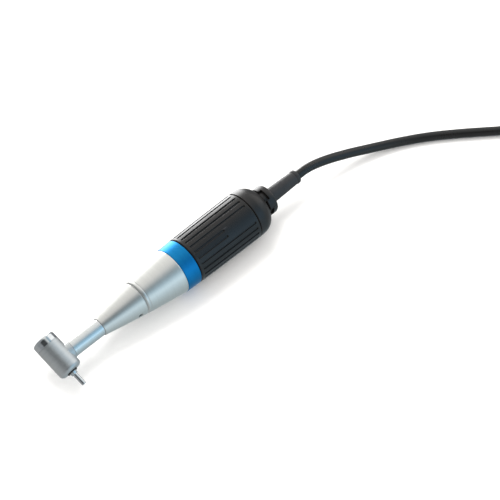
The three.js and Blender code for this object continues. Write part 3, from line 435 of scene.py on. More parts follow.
def moulded(name, dark, light, roughness, grain=0.4, bump=0.35, depth=0.03, ior=1.5, rub=None):
    """A moulded plastic or rubber: grain is the spacing of the mould's texture in mm."""
    material, tree = new_material(name)
    place = axis_vector(tree, MOTOR_LINE)
    cells = put(tree, "ShaderNodeTexVoronoi", {"Vector": place, "Scale": 1 / (grain * MM)}, feature="F1")
    fine = put(tree, "ShaderNodeTexNoise", {
        "Vector": place, "Scale": 1 / (grain * MM), "Detail": 3.0, "Roughness": 0.6,
    })
    cloud = put(tree, "ShaderNodeTexNoise", {"Vector": place, "Scale": 1 / (9 * MM), "Detail": 3.0})
    height = put(tree, "ShaderNodeMath", {0: cells, 1: fine},
                 operation="ADD")
    tone = put(tree, "ShaderNodeMath", {0: fine, 1: cloud}, operation="ADD")
    share = put(tree, "ShaderNodeMapRange", {
        "Value": tone, "From Min": 0.6, "From Max": 1.4, "To Min": 0.0, "To Max": 1.0,
    })
    colour = put(tree, "ShaderNodeValToRGB", {"Fac": share}, stops=[(0.0, dark), (1.0, light)])
    base = colour.outputs["Color"]
    rough = put(tree, "ShaderNodeMapRange", {
        "Value": tone, "From Min": 0.6, "From Max": 1.4,
        "To Min": roughness + MOULD_SPREAD, "To Max": roughness - MOULD_SPREAD,
    })
    if rub:
        # Edges that fingers rub are a little paler.
        shape = put(tree, "ShaderNodeNewGeometry")
        edge = put(tree, "ShaderNodeValToRGB", {"Fac": shape.outputs["Pointiness"]},
                   stops=[(0.52, 0.0), (0.58, 0.5)])
        base = put(tree, "ShaderNodeMix", {0: edge, 6: base, 7: to_linear(rub)},
                   data_type="RGBA").outputs[2]
    close_material(tree, {
        "Base Color": base,
        "Roughness": rough,
        "IOR": ior,
    }, height, bump, depth)
    return material


def banded(name, dark, light, metallic, roughness, spacing):
    """Wire turns or stacked sheets: bands across the axis, at their spacing in mm."""
    material, tree = new_material(name)
    place = axis_vector(tree, MOTOR_LINE)
    # A wave texture has a band every twentieth of pi over its scale.
    bands = put(tree, "ShaderNodeTexWave", {
        "Vector": place, "Scale": math.pi / (10 * spacing * MM), "Distortion": 0.4, "Detail": 1.0,
    }, wave_type="BANDS", bands_direction="X")
    stain = put(tree, "ShaderNodeTexNoise", {"Vector": place, "Scale": 1 / (2 * MM), "Detail": 3.0})
    both = put(tree, "ShaderNodeMath", {0: bands.outputs["Fac"], 1: stain},
               operation="MULTIPLY")
    colour = put(tree, "ShaderNodeValToRGB", {"Fac": both}, stops=[(0.0, dark), (0.6, light)])
    close_material(tree, {
        "Base Color": colour.outputs["Color"],
        "Metallic": metallic,
        "Roughness": roughness,
    }, bands.outputs["Fac"], bump=0.6, depth=0.05)
    return material


# Anodised aluminium, bead blasted: a soft pale sheen with a fine even grain.
blasted_aluminium = metal("anodised_aluminium_bead_blasted", "#D6D6D3", "#E2E2DF", 0.32, grain=0.35,
                          lines=0.5, bump=0.1, spread=0.03)
# The same alloy, ground finer for the neck, which mirrors more sharply than the cones.
ground_aluminium = metal("anodised_aluminium_fine_ground", "#D6D7D6", "#E2E3E2", 0.22, grain=0.35,
                         lines=0.4, bump=0.06, spread=0.03)
# The same alloy left plain inside, a little darker, with coarser turning marks.
turned_aluminium = metal("aluminium_plain_turned", "#A9AEB0", "#C6CACC", 0.38, lines=0.5, bump=0.3)
# Stainless steel, satin ground: a grey metal whose fine marks run round the head.
satin_stainless = metal("stainless_steel_satin_ground", "#C0C3C3", "#D2D4D4", 0.48, line=HEAD_LINE,
                        lines=0.35, grain=0.5, bump=0.2, spread=0.05)
# Stainless tube, drawn: darker and glossier, with marks round the motor.
satin_stainless_motor = metal("stainless_steel_drawn_tube", "#8C9295", "#A6ABAE", 0.32, lines=0.5)
# Hardened steel, polished: clear dark and bright streaks, with only a trace of lapping marks.
polished_steel = metal("hardened_steel_polished", "#C8CBCC", "#DCDFE0", 0.07, line=HEAD_LINE,
                       lines=0.4, grain=0.8, bump=0.03, spread=0.03)
# Bearing steel, ground: an even bright gloss.
bearing_steel = metal("bearing_steel_ground", "#A0A5A8", "#BFC3C6", 0.2, lines=0.4, bump=0.1)
# Case hardened steel, oiled: the dark grey of a gear or a grub screw.
hardened_steel = metal("gear_steel_case_hardened", "#4C5053", "#6B6F72", 0.36, lines=0.4, bump=0.25)
# Aluminium, turned and dyed in blue anodising: a deep blue with a clear satin sheen.
blue_anodised = metal("aluminium_blue_anodised", "#1678B2", "#2288C4", 0.38, lines=0.4, grain=0.4,
                      bump=0.1, spread=0.04)
# Brass, turned: a yellow metal with visible tool marks.
turned_brass = metal("brass_turned", "#A5823F", "#C9A560", 0.28, lines=0.45)
# Brass contacts, gold plated: a warm even gloss.
gold_plate = metal("brass_gold_plated", "#C79A3E", "#E8C268", 0.18, lines=0.6, bump=0.05)
# Glass-filled nylon, moulded in a spark-eroded tool: near black with a fine satin grain.
grip_nylon = moulded("glass_filled_nylon_moulded", "#0E0C0B", "#171514", 0.3,
                     grain=0.45, bump=0.25, ior=1.46, rub="#3C3C3F")
# ABS, moulded with a matte texture: a shade lighter, with a broad soft sheen.
matte_abs = moulded("abs_moulded_matte", "#0F0D0C", "#181615", 0.34, grain=0.5, bump=0.3, ior=1.46)
# Soft PVC, extruded: the cord's satin jacket, with a faint orange peel.
cord_jacket = moulded("soft_pvc_extruded", "#0F0E0D", "#181716", 0.3, grain=0.9, bump=0.25, depth=0.04,
                      ior=1.46)
# Silicone rubber, moulded: dull and even.
soft_rubber = moulded("silicone_rubber_moulded", "#1A1A1C", "#28282A", 0.5, grain=0.5, bump=0.3)
# PBT, moulded: the cream insulator that holds the plug's pins.
cream_pbt = moulded("pbt_moulded_cream", "#CFC7B4", "#E2DBCB", 0.42, grain=0.5, bump=0.2)
# Nylon loop tape, brushed: a dull fuzz of loops about half a millimetre apart.
loop_tape = moulded("nylon_loop_tape_brushed", "#1B1B1D", "#3A3A3D", 0.8, grain=0.5, bump=1.0, depth=0.2)
# Glass epoxy board, laminated: green resist with a faint weave of bundles.
board_epoxy = moulded("glass_epoxy_laminated", "#174A30", "#246644", 0.35, grain=0.6, bump=0.3)
# Sintered magnet and ground iron: a dark grey grain.
sintered_ferrite = moulded("ferrite_sintered_ground", "#34353A", "#4A4B50", 0.45, grain=0.5)
# Silicon steel sheets, stacked: half millimetre lines round the stator.
stacked_iron = banded("silicon_steel_stacked", "#3A3B40", "#66686D", 0.6, 0.45, 0.5)
# Enamelled copper wire, wound: glossy orange-brown turns.
wound_copper = banded("enamelled_copper_wound", "#6E351A", "#C77843", 0.7, 0.3, 0.45)


def finished(piece, material, body, slot, *nodes):
    """Gives a piece its material and its CAD body, and hides the CAD nodes that it stands for; the slot is
    not used.
    """
    piece.data.materials.clear()
    piece.data.materials.append(material)
    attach(piece, body)
    if nodes:
        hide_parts(*nodes)
    return piece


# ------------------------------------------------------------------ the head
HEAD_RADIUS = 6.15
HEAD_BORE = 5.05
HEAD_ABOVE = 7.9
HEAD_BELOW = 8.7
HEAD_FLOOR = 7.2
HEAD_FILLET = 1.9
RECESS_RADIUS = 3.0
BOSS_RADIUS = 4.62
BOSS_END = 7.0
BOSS_BORE = 3.65

head = spun("head_shell", [
    (-HEAD_ABOVE, HEAD_BORE),
    (HEAD_FLOOR, HEAD_BORE),
    (HEAD_FLOOR, RECESS_RADIUS),
    (HEAD_BELOW - 0.05, RECESS_RADIUS),
    (HEAD_BELOW, RECESS_RADIUS + 0.15),
    *arc(HEAD_BELOW - HEAD_FILLET, HEAD_RADIUS - HEAD_FILLET, HEAD_FILLET, HEAD_FILLET, 0, 90, 10),
    (-HEAD_ABOVE, HEAD_RADIUS),
], HEAD_LINE, 120)
boss = spun("boss", [
    (0.5, 0.0),
    (0.5, BOSS_RADIUS),
    (BOSS_END - 0.2, BOSS_RADIUS),
    (BOSS_END, BOSS_RADIUS - 0.2),
    (BOSS_END, 0.0),
], MOTOR_LINE, 96)
combine(head, boss, "UNION")
combine(head, spun("head_room", [
    (-HEAD_ABOVE - 1, 0.0), (-HEAD_ABOVE - 1, HEAD_BORE - 0.01), (HEAD_FLOOR - 0.01, HEAD_BORE - 0.01),
    (HEAD_FLOOR - 0.01, 0.0),
], HEAD_LINE, 120))
combine(head, spun("boss_room", [
    (0.0, 0.0), (0.0, BOSS_BORE), (BOSS_END + 1, BOSS_BORE), (BOSS_END + 1, 0.0),
], MOTOR_LINE, 72))
soften(head, 0.1)
finished(head, satin_stainless, "angle_head", "satin_steel", "head_housing")

CAP_START = -7.94
CAP_END = -12.3
CAP_ROUNDING = 1.6
BUTTON_RADIUS = 3.85
HEAD_FIT = 0.15
cap = spun("screw_cap", [
    (CAP_START, HEAD_RADIUS - 0.06),
    (CAP_START - 0.06, HEAD_RADIUS),
    *arc(CAP_END + CAP_ROUNDING, HEAD_RADIUS - CAP_ROUNDING, -CAP_ROUNDING, CAP_ROUNDING, 90, 0, 10),
    (CAP_END, BUTTON_RADIUS + HEAD_FIT + 0.2),
    (CAP_END + 0.2, BUTTON_RADIUS + HEAD_FIT),
    (CAP_START + 0.54, BUTTON_RADIUS + HEAD_FIT),
    (CAP_START + 0.54, HEAD_BORE - HEAD_FIT),
    (CAP_START, HEAD_BORE - HEAD_FIT),
], HEAD_LINE, 120)
# Two blind holes on the cap's face take the service wrench.
wrench_hole = spun("wrench_hole", [
    (CAP_END - 0.5, 0.0), (CAP_END - 0.5, 0.32), (CAP_END + 0.7, 0.32), (CAP_END + 0.9, 0.0),
], (CROSSING + ACROSS_HEAD * 4.3 * MM, TOOL_AXIS, TOWARDS_MOTOR), 24)
combine(cap, around(wrench_hole, 2, HEAD_LINE))
soften(cap, 0.06)
finished(cap, polished_steel, "angle_head", "polished_steel", "head_cap")

BUTTON_SKIRT = -8.5


def along_tool(node):
    """Where a CAD node on the tool's axis starts and ends along it, in mm from the crossing."""
    shape = frame["nodes"][node].data.vertices
    reach = [(vertex.co - CROSSING).dot(TOOL_AXIS) / MM for vertex in shape]
    return min(reach), max(reach)


button_top, button_end = along_tool("push_button")
button = spun("release_button", [
    (button_top + 0.12, 0.0),
    (button_top + 0.1, 0.9),
    (button_top, 1.6),
    (button_top + 0.03, 2.3),
    (button_top + 0.12, 3.1),
    (button_top + 0.2, 3.45),
    (button_top + 0.45, 3.7),
    (button_top + 0.8, BUTTON_RADIUS),
    (BUTTON_SKIRT, BUTTON_RADIUS),
    (BUTTON_SKIRT, BUTTON_RADIUS - 0.9),
    (button_top + 1.5, BUTTON_RADIUS - 0.9),
    (button_top + 1.5, 1.025),
    (button_end - 0.15, 1.025),
    (button_end, 0.85),
    (button_end, 0.0),
], HEAD_LINE, 96)
soften(button, 0.05)
finished(button, polished_steel, "push_button", "polished_steel", "push_button")

CHUCK_BORE = 1.325
CHUCK_NECK = 1.72
CHUCK_NOSE = 2.05
CHUCK_BODY = 2.1
LOWER_BEARING = (4.6, 6.9)
chuck_top, chuck_end = along_tool("chuck_spindle")
chuck = spun("chuck", [
    (chuck_top, CHUCK_BORE + 0.1),
    (chuck_top + 0.1, CHUCK_BORE),
    (chuck_end - 0.15, CHUCK_BORE),
    (chuck_end, CHUCK_BORE + 0.12),
    (chuck_end, CHUCK_NECK - 0.17),
    (chuck_end - 0.1, CHUCK_NECK - 0.1),
    (HEAD_BELOW + 0.25, CHUCK_NOSE - 0.06),
    (HEAD_BELOW + 0.1, CHUCK_NOSE),
    (LOWER_BEARING[1] + 0.2, CHUCK_NOSE),
    (LOWER_BEARING[1] + 0.2, CHUCK_BODY),
    (LOWER_BEARING[0] - 0.4, CHUCK_BODY),
    (LOWER_BEARING[0] - 0.4, CHUCK_NECK),
    (chuck_top, CHUCK_NECK),
], HEAD_LINE, 96)
slit = block("slit", (chuck_end - 0.2, 2.0, 0.0), (1.9, 2.4, 0.16), HEAD_LINE)
combine(chuck, around(slit, 3, HEAD_LINE, 0.5))
soften(chuck, 0.05)
finished(chuck, polished_steel, "spindle", "polished_steel", "chuck_spindle")

# The button's return spring: a ring of wire wound by a screw, its cut ends closed.
SPRING_TURNS = 3
SPRING_STEPS = 36
SPRING_WIRE = 0.22
SPRING_RADIUS = 2.4
spring_top, spring_end = along_tool("button_spring")
spring_length = spring_end - spring_top - 2 * SPRING_WIRE
deselect()
bpy.ops.mesh.primitive_circle_add(vertices=12, radius=SPRING_WIRE * MM, rotation=(math.pi / 2, 0.0, 0.0))
spring = bpy.context.object
spring.name = "button_return_spring"
bpy.ops.object.transform_apply(rotation=True)
editing(spring)
bpy.ops.transform.translate(value=(SPRING_RADIUS * MM, 0.0, 0.0))
editing_done()
modified(spring, "SCREW", screw_offset=spring_length * MM / SPRING_TURNS, iterations=SPRING_TURNS,
         steps=SPRING_STEPS, render_steps=SPRING_STEPS, use_normal_calculate=True)
editing(spring)
bpy.ops.mesh.remove_doubles(threshold=MERGE_GAP)
bpy.ops.mesh.select_all(action="DESELECT")
bpy.ops.mesh.select_non_manifold()
bpy.ops.mesh.edge_face_add()
closed_up()
spring.data.transform(Matrix.Translation(CROSSING + TOOL_AXIS * (spring_top + SPRING_WIRE) * MM)
                      @ TOOL_AXIS.to_track_quat("Z", "Y").to_matrix().to_4x4())
soften(spring, 0.0)
finished(spring, polished_steel, "angle_head", "polished_steel", "button_spring")
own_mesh(spring)

# A black lip seal keeps debris out round the chuck.
SEAL_RADIUS = 2.7
seal = spun("dust_seal", [
    (HEAD_FLOOR + 0.1, CHUCK_NOSE + 0.12),
    (HEAD_BELOW + 0.7, CHUCK_NOSE + 0.12),
    (HEAD_BELOW + 0.7, SEAL_RADIUS - 0.25),
    (HEAD_BELOW + 0.45, SEAL_RADIUS),
    (HEAD_FLOOR + 0.1, SEAL_RADIUS),
], HEAD_LINE, 72)
soften(seal, 0.04)
finished(seal, soft_rubber, "angle_head", "black_rubber")

SHANK_RADIUS = 1.175
tool_top, tool_end = along_tool("tool")
tool = spun("tool_shank", [
    (tool_top, 0.0),
    (tool_top, SHANK_RADIUS - 0.3),
    (tool_top + 0.3, SHANK_RADIUS),
    (tool_top + 1.2, SHANK_RADIUS),
    (tool_top + 1.3, SHANK_RADIUS - 0.28),
    (tool_top + 2.2, SHANK_RADIUS - 0.28),
    (tool_top + 2.3, SHANK_RADIUS),
    (tool_end - 0.25, SHANK_RADIUS),
    (tool_end, SHANK_RADIUS - 0.25),
    (tool_end, 0.35),
    (tool_end - 0.12, 0.0),
], HEAD_LINE, 72)
# The latch flat at the shank's hidden end.
combine(tool, block("latch_flat", (tool_top + 0.4, 1.4, 0.0), (2.0, 1.2, 4.0), HEAD_LINE))
soften(tool, 0.04)
finished(tool, polished_steel, "tool", "polished_steel", "tool")

# ------------------------------------------------------------------ neck and cones
NECK_RADIUS = 4.42
NECK_BORE = 3.07
NECK_START = 7.06
NECK_END = 34.0
SPIGOT_START = 4.1
SPIGOT_RADIUS = 3.55
neck = spun("neck", [
    (SPIGOT_START, NECK_BORE),
    (NECK_END, NECK_BORE),
    (NECK_END, NECK_RADIUS),
    (NECK_START, NECK_RADIUS),
    (NECK_START, SPIGOT_RADIUS),
    (SPIGOT_START, SPIGOT_RADIUS),
])
soften(neck, 0.12)
finished(neck, ground_aluminium, "angle_head", "satin_aluminium", "neck_tube")

CONE_START = 25.0
CONE_START_RADIUS = 4.8
GROOVE = 48.7
GROOVE_RADIUS = 9.05
GROOVE_DEPTH = 0.55
GROOVE_WIDTH = 1.1
SEAM = 0.3
FIT = 0.1
CONE_WALL = 1.3
RING_START = 71.8
RING_END = 80.1
RING_START_RADIUS = 12.4
RING_END_RADIUS = 12.7
RING_WALL = 1.1
CONE_SKIRT = GROOVE_RADIUS - GROOVE_DEPTH - CONE_WALL
CONE_THREAD = 4.5


def front_radius(station):
    share = (station - CONE_START) / (GROOVE - CONE_START)
    return CONE_START_RADIUS + (GROOVE_RADIUS - CONE_START_RADIUS) * share


def rear_radius(station):
    share = (station - GROOVE) / (RING_START - GROOVE)
    return GROOVE_RADIUS + (RING_START_RADIUS - GROOVE_RADIUS) * share


# The fine pieces close up to hairline joints, where the solids keep a wider gap.
HAIRLINE = 0.02
front_end = GROOVE - HAIRLINE / 2
front_cone = spun("nose_cone", [
    (CONE_START, NECK_RADIUS + FIT),
    (NECK_END + 0.5, NECK_RADIUS + FIT),
    (front_end - 4, CONE_SKIRT - CONE_WALL),
    (front_end + CONE_THREAD, CONE_SKIRT - CONE_WALL),
    (front_end + CONE_THREAD, CONE_SKIRT),
    (front_end, CONE_SKIRT),
    (front_end, GROOVE_RADIUS - GROOVE_DEPTH),
    (front_end - GROOVE_WIDTH / 2, front_radius(front_end - GROOVE_WIDTH / 2)),
    (CONE_START + 0.12, front_radius(CONE_START + 0.12)),
    (CONE_START, CONE_START_RADIUS - 0.12),
], steps=120)
SCREW_STATION = 44.2
SCREW_RADIUS = 1.1
SCREW_ROLL = math.radians(99)
screw_origin = CROSSING + ALONG * SCREW_STATION * MM
SCREW_LINE = (screw_origin, radial(SCREW_ROLL), ALONG)
screw_head = front_radius(SCREW_STATION) - 0.45
combine(front_cone, spun("screw_hole", [
    (2.0, 0.0), (2.0, SCREW_RADIUS + FIT), (screw_head + 0.35, SCREW_RADIUS + FIT),
    (screw_head + 0.9, SCREW_RADIUS + 0.5), (screw_head + 3, SCREW_RADIUS + 0.5), (screw_head + 3, 0.0),
], SCREW_LINE, 40))
soften(front_cone, 0.1)
finished(front_cone, blasted_aluminium, "angle_head", "satin_aluminium", "front_cone")

SCREW_LENGTH = 2.6
screw = spun("grub_screw", [
    (screw_head - SCREW_LENGTH, 0.0),
    (screw_head - SCREW_LENGTH, SCREW_RADIUS - 0.3),
    (screw_head - SCREW_LENGTH + 0.3, SCREW_RADIUS),
    (screw_head - 0.15, SCREW_RADIUS),
    (screw_head, SCREW_RADIUS - 0.15),
    (screw_head, 0.0),
], SCREW_LINE, 40)
combine(screw, spun("hexagon_socket", [
    (screw_head - 0.75, 0.0), (screw_head - 0.7, 0.5), (screw_head + 1, 0.5), (screw_head + 1, 0.0),
], SCREW_LINE, 6))
soften(screw, 0.04)
finished(screw, hardened_steel, "angle_head", "dark_steel", "lock_screw")

LINE_STATION = GROOVE + 1.9
LINE_DEPTH = 0.2
CONE_END = RING_START
RIM_CHAMFER = 0.6
RIM_SLOPE = 0.33
RING_SEAT = RING_START_RADIUS - RING_WALL - FIT
SKIRT_END = RING_END - SEAM
rear_start = GROOVE + HAIRLINE / 2
thread_end = front_end + CONE_THREAD
inside_end = rear_radius(CONE_END) - CONE_WALL - 0.8
rear_cone = spun("rear_nose", [
    (rear_start, CONE_SKIRT + FIT),
    (thread_end + 1, CONE_SKIRT + FIT),
    (thread_end + 1.6, rear_radius(thread_end + 1.6) - CONE_WALL),
    (CONE_END, inside_end),
    (SKIRT_END, inside_end),
    (SKIRT_END, RING_SEAT),
    (CONE_END, RING_SEAT),
    (CONE_END, RING_START_RADIUS - RIM_CHAMFER * RIM_SLOPE),
    (CONE_END - RIM_CHAMFER, rear_radius(CONE_END - RIM_CHAMFER)),
    (LINE_STATION + 0.3, rear_radius(LINE_STATION + 0.3)),
    (LINE_STATION, rear_radius(LINE_STATION) - LINE_DEPTH),
    (LINE_STATION - 0.3, rear_radius(LINE_STATION - 0.3)),
    (rear_start + GROOVE_WIDTH / 2, rear_radius(rear_start + GROOVE_WIDTH / 2)),
    (rear_start, GROOVE_RADIUS - GROOVE_DEPTH),
], steps=144)
soften(rear_cone, 0.08)
finished(rear_cone, blasted_aluminium, "angle_head", "satin_aluminium", "rear_cone")

collar_start = RING_START + HAIRLINE
collar = spun("blue_collar", [
    (collar_start, RING_SEAT + FIT),
    (RING_END, RING_SEAT + FIT),
    (RING_END, RING_END_RADIUS - 0.25),
    (RING_END - 0.25, RING_END_RADIUS),
    (collar_start + 0.15, RING_START_RADIUS),
    (collar_start, RING_START_RADIUS - 0.15),
], steps=144)
soften(collar, 0.08)
finished(collar, blue_anodised, "angle_head", "blue_anodised", "colour_ring")

# ------------------------------------------------------------------ the grip
GRIP_LENGTH = 40.0
GRIP_END = GRIP_START + GRIP_LENGTH
GRIP_START_RADIUS = 12.75
GRIP_END_RADIUS = 13.25
GRIP_BORE = 10.75
FLUTE_COUNT = 24
FLUTE_WIDTH = 1.05
FLUTE_DEPTH = 0.7
FLUTE_RIM = 0.18
FLUTE_INSET = 1.7
FLUTE_PHASE = math.radians(10.9)
PAD_FLUTES = (1, 2)
PAD_LENGTH = 18.6


def grip_radius(station):
    share = (station - GRIP_START) / GRIP_LENGTH
    bulge = 0.4 * share * (1 - share)
    return GRIP_START_RADIUS + (GRIP_END_RADIUS - GRIP_START_RADIUS) * share + bulge


grip = spun("fluted_grip", [
    (GRIP_START, GRIP_BORE),
    (GRIP_END, GRIP_BORE),
    (GRIP_END, GRIP_END_RADIUS - 0.3),
    (GRIP_END - 0.3, GRIP_END_RADIUS),
    *[(GRIP_END - step * 4, grip_radius(GRIP_END - step * 4)) for step in range(1, 10)],
    (GRIP_START + 0.4, GRIP_START_RADIUS),
    (GRIP_START, GRIP_START_RADIUS - 0.4),
], steps=144)


def flute_cutter(name, start, end, roll):
    """A round-ended drafted cutter: a short cylinder whose one half is pulled along the grip."""
    half = FLUTE_WIDTH / 2
    deselect()
    bpy.ops.mesh.primitive_cylinder_add(vertices=24, radius=half * MM, depth=2.4 * MM)
    piece = bpy.context.object
    piece.name = name
    editing(piece)
    choose(piece, "FACE", lambda face: face.normal.z < -0.9)
    bpy.ops.mesh.bevel(offset=0.3 * MM, segments=3, affect="EDGES")
    # The mouth is wider than the floor, as a moulded groove is.
    choose(piece, "VERT", lambda vertex: vertex.co.z > 1.1 * MM)
    bpy.ops.transform.resize(value=(1.35, 1.35, 1.0))
    editing_done()
    for vertex in piece.data.vertices:
        rear = vertex.co.x > MERGE_GAP
        station = end - half if rear else start + half
        floor = grip_radius(station) - FLUTE_DEPTH
        vertex.co.x += station * MM
        vertex.co.z += (floor + 1.2) * MM
    turn = Matrix.Translation(CROSSING) @ Matrix.Rotation(roll, 4, ALONG)
    piece.data.transform(turn)
    return piece


cutters = []
for i in range(FLUTE_COUNT):
    flute_end = GRIP_END - PAD_LENGTH if i in PAD_FLUTES else GRIP_END - FLUTE_INSET
    flute_roll = FLUTE_PHASE + 2 * math.pi * i / FLUTE_COUNT
    cutters.append(flute_cutter("flute", GRIP_START + FLUTE_INSET, flute_end, flute_roll))
combine(grip, joined(cutters))
soften(grip, FLUTE_RIM, 3, above=40)
finished(grip, grip_nylon, "motor", "black_plastic", "grip_sleeve")

# ------------------------------------------------------------------ rear cap
DOME_START = 120.7
DOME_SIDE = 3.0
DOME_LENGTH = 11.0
DOME_END = DOME_START + DOME_LENGTH
DOME_END_RADIUS = 7.7
DOME_WALL = 2.0
DOME_HOLE = 5.5
DOME_SPIGOT = 4.0
spigot = GRIP_BORE - FIT
dome_core = DOME_END_RADIUS - 2.0
dome_height = GRIP_END_RADIUS - 0.1 - dome_core
dome_finish = math.degrees(math.asin(2.0 / dome_height))
inner_dome = arc(DOME_START + DOME_SIDE, dome_core, DOME_LENGTH - DOME_SIDE - DOME_WALL,
                 dome_height - DOME_WALL, 90, dome_finish, 10)
rear_cap = spun("domed_rear_cap", [
    (DOME_START, GRIP_END_RADIUS - 0.35),
    (DOME_START + 0.3, GRIP_END_RADIUS - 0.05),
    *arc(DOME_START + DOME_SIDE, dome_core, DOME_LENGTH - DOME_SIDE, dome_height, 90, dome_finish, 18),
    (DOME_END, DOME_END_RADIUS - 0.4),
    (DOME_END, DOME_HOLE),
    (DOME_END - DOME_WALL - 0.4, DOME_HOLE),
    *reversed(inner_dome),
    (DOME_START, spigot - DOME_WALL),
    (DOME_START - DOME_SPIGOT, spigot - DOME_WALL),
    (DOME_START - DOME_SPIGOT, spigot),
    (DOME_START - 2.6, spigot),
    (DOME_START - 2.6, spigot - 0.7),
    (DOME_START - 1.2, spigot - 0.7),
    (DOME_START - 1.2, spigot),
    (DOME_START, spigot),
], steps=144)
soften(rear_cap, 0.08)
finished(rear_cap, matte_abs, "motor", "matte_black", "rear_cap")

# ------------------------------------------------------------------ cable exit
NUT_START = DOME_END + SEAM
NUT_LENGTH = 5.8
NUT_END = NUT_START + NUT_LENGTH
NUT_RADIUS = 8.0
NUT_SPIGOT = 5.4
NUT_SPIGOT_LENGTH = 5.0
NUT_WINDOWS = 4
WINDOW_ARC = 50.0
WINDOW_LENGTH = 2.4
WINDOW_DEPTH = 1.4
WINDOW_CENTRE = math.radians(10)
SLEEVE_START = NUT_END - 1.6
SLEEVE_RADIUS = 4.1
SLEEVE_END_RADIUS = 3.55
SLEEVE_LIP = 0.25
SLEEVE_BORE = CORD_RADIUS + 0.2
FLANGE = SLEEVE_RADIUS + 1.0
nut = spun("cable_collar", [
    (NUT_START - NUT_SPIGOT_LENGTH, NUT_SPIGOT - 1.2),
    (SLEEVE_START - 2.6, NUT_SPIGOT - 1.2),
    (SLEEVE_START - 2.6, FLANGE + FIT),
    (SLEEVE_START - 0.3, FLANGE + FIT),
    (SLEEVE_START - 0.3, SLEEVE_RADIUS + FIT),
    (NUT_END, SLEEVE_RADIUS + FIT),
    (NUT_END, NUT_RADIUS - 1.5),
    (NUT_END - 0.45, NUT_RADIUS - 0.45),
    (NUT_END - 1.5, NUT_RADIUS),
    (NUT_START + 0.5, NUT_RADIUS),
    (NUT_START, NUT_RADIUS - 0.5),
    (NUT_START, NUT_SPIGOT),
    (NUT_START - NUT_SPIGOT_LENGTH, NUT_SPIGOT),
], steps=120)


def window_cutter(centre):
    """A slot through the collar's front edge, a part turn of a square section."""
    inner = NUT_RADIUS - WINDOW_DEPTH
    outer = NUT_RADIUS + 1.0
    start = NUT_START - 0.5
    end = NUT_START + WINDOW_LENGTH - 0.1
    deselect()
    bpy.ops.mesh.primitive_plane_add(size=1.0)
    piece = bpy.context.object
    piece.name = "window"
    across = radial(centre - math.radians(WINDOW_ARC / 2))
    corners = [(start, inner), (end, inner), (end, outer), (start, outer)]
    order = [0, 1, 3, 2]
    for vertex, corner in zip(piece.data.vertices, order):
        station, radius = corners[corner]
        vertex.co = CROSSING + (ALONG * station + across * radius) * MM
    editing(piece)
    bpy.ops.mesh.spin(steps=14, angle=-math.radians(WINDOW_ARC), center=CROSSING, axis=ALONG, dupli=False)
    closed_up()
    return piece


combine(nut, joined([
    window_cutter(WINDOW_CENTRE + 2 * math.pi * i / NUT_WINDOWS) for i in range(NUT_WINDOWS)
]))
soften(nut, 0.08)
finished(nut, matte_abs, "motor", "matte_black", "cable_nut")

sleeve = spun("bend_sleeve", [
    (SLEEVE_START - 2.3, SLEEVE_BORE),
    (SLEEVE_END, SLEEVE_BORE),
    (SLEEVE_END, SLEEVE_END_RADIUS),
    *arc(SLEEVE_END - 1.0, SLEEVE_END_RADIUS, 1.0, SLEEVE_LIP, 30, 150, 8),
    (SLEEVE_END - 2.0, SLEEVE_END_RADIUS),
    (NUT_END - 0.3, SLEEVE_RADIUS),
    (SLEEVE_START - 0.6, SLEEVE_RADIUS),
    (SLEEVE_START - 0.6, FLANGE),
    (SLEEVE_START - 2.3, FLANGE),
], steps=72)
soften(sleeve, 0.12)
finished(sleeve, soft_rubber, "motor", "black_rubber", "strain_relief")

# ------------------------------------------------------------------ the plug
plug_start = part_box("plug_strain_relief")[0].x
PLUG_LINE = (Vector((plug_start, tail_y, PLUG_HEIGHT * MM)), ALONG, radial(0.0))
PLUG_RADIUS = 8.0
RELIEF_LENGTH = 11.0
RIB_COUNT = 4
RIB_PITCH = 2.0
relief_outline = [(0.0, 0.0), (0.0, 3.4)]
for i in range(RIB_COUNT):
    rib_start = 0.8 + i * RIB_PITCH
    rib_radius = 3.5 + 0.8 * rib_start / 9.0
    relief_outline += [
        (rib_start, rib_radius), (rib_start + 1.2, rib_radius + 0.1),
        (rib_start + 1.3, rib_radius - 0.55), (rib_start + 1.9, rib_radius - 0.5),
    ]
relief_outline += [
    (RELIEF_LENGTH - 2, 4.2), (RELIEF_LENGTH - 2, 5.2), (RELIEF_LENGTH, 5.2), (RELIEF_LENGTH, 0.0),
]
plug_relief = spun("plug_bend_relief", relief_outline, PLUG_LINE, 72)
soften(plug_relief, 0.1)
finished(plug_relief, soft_rubber, "motor", "black_rubber", "plug_strain_relief")

BODY_START = RELIEF_LENGTH + SEAM
BODY_END = BODY_START + 15.0
BODY_RADIUS = PLUG_RADIUS - 0.4
body_outline = [(BODY_START, 0.0), (BODY_START, 6.0), (BODY_START + 0.4, 6.4)]
body_outline += arc(BODY_START + 2.2, BODY_RADIUS - 1.2, -1.8, 1.2, 0, 90, 6)[1:]
for i in range(4):
    rib = BODY_START + 4.0 + i * 2.2
    body_outline += [
        (rib, BODY_RADIUS), (rib + 0.3, BODY_RADIUS - 0.45), (rib + 0.9, BODY_RADIUS - 0.45),
        (rib + 1.2, BODY_RADIUS),
    ]
body_outline += [(BODY_END, BODY_RADIUS), (BODY_END, 0.0)]
plug_body = spun("plug_grip", body_outline, PLUG_LINE, 96)
soften(plug_body, 0.1)
finished(plug_body, matte_abs, "motor", "matte_black", "plug_body")

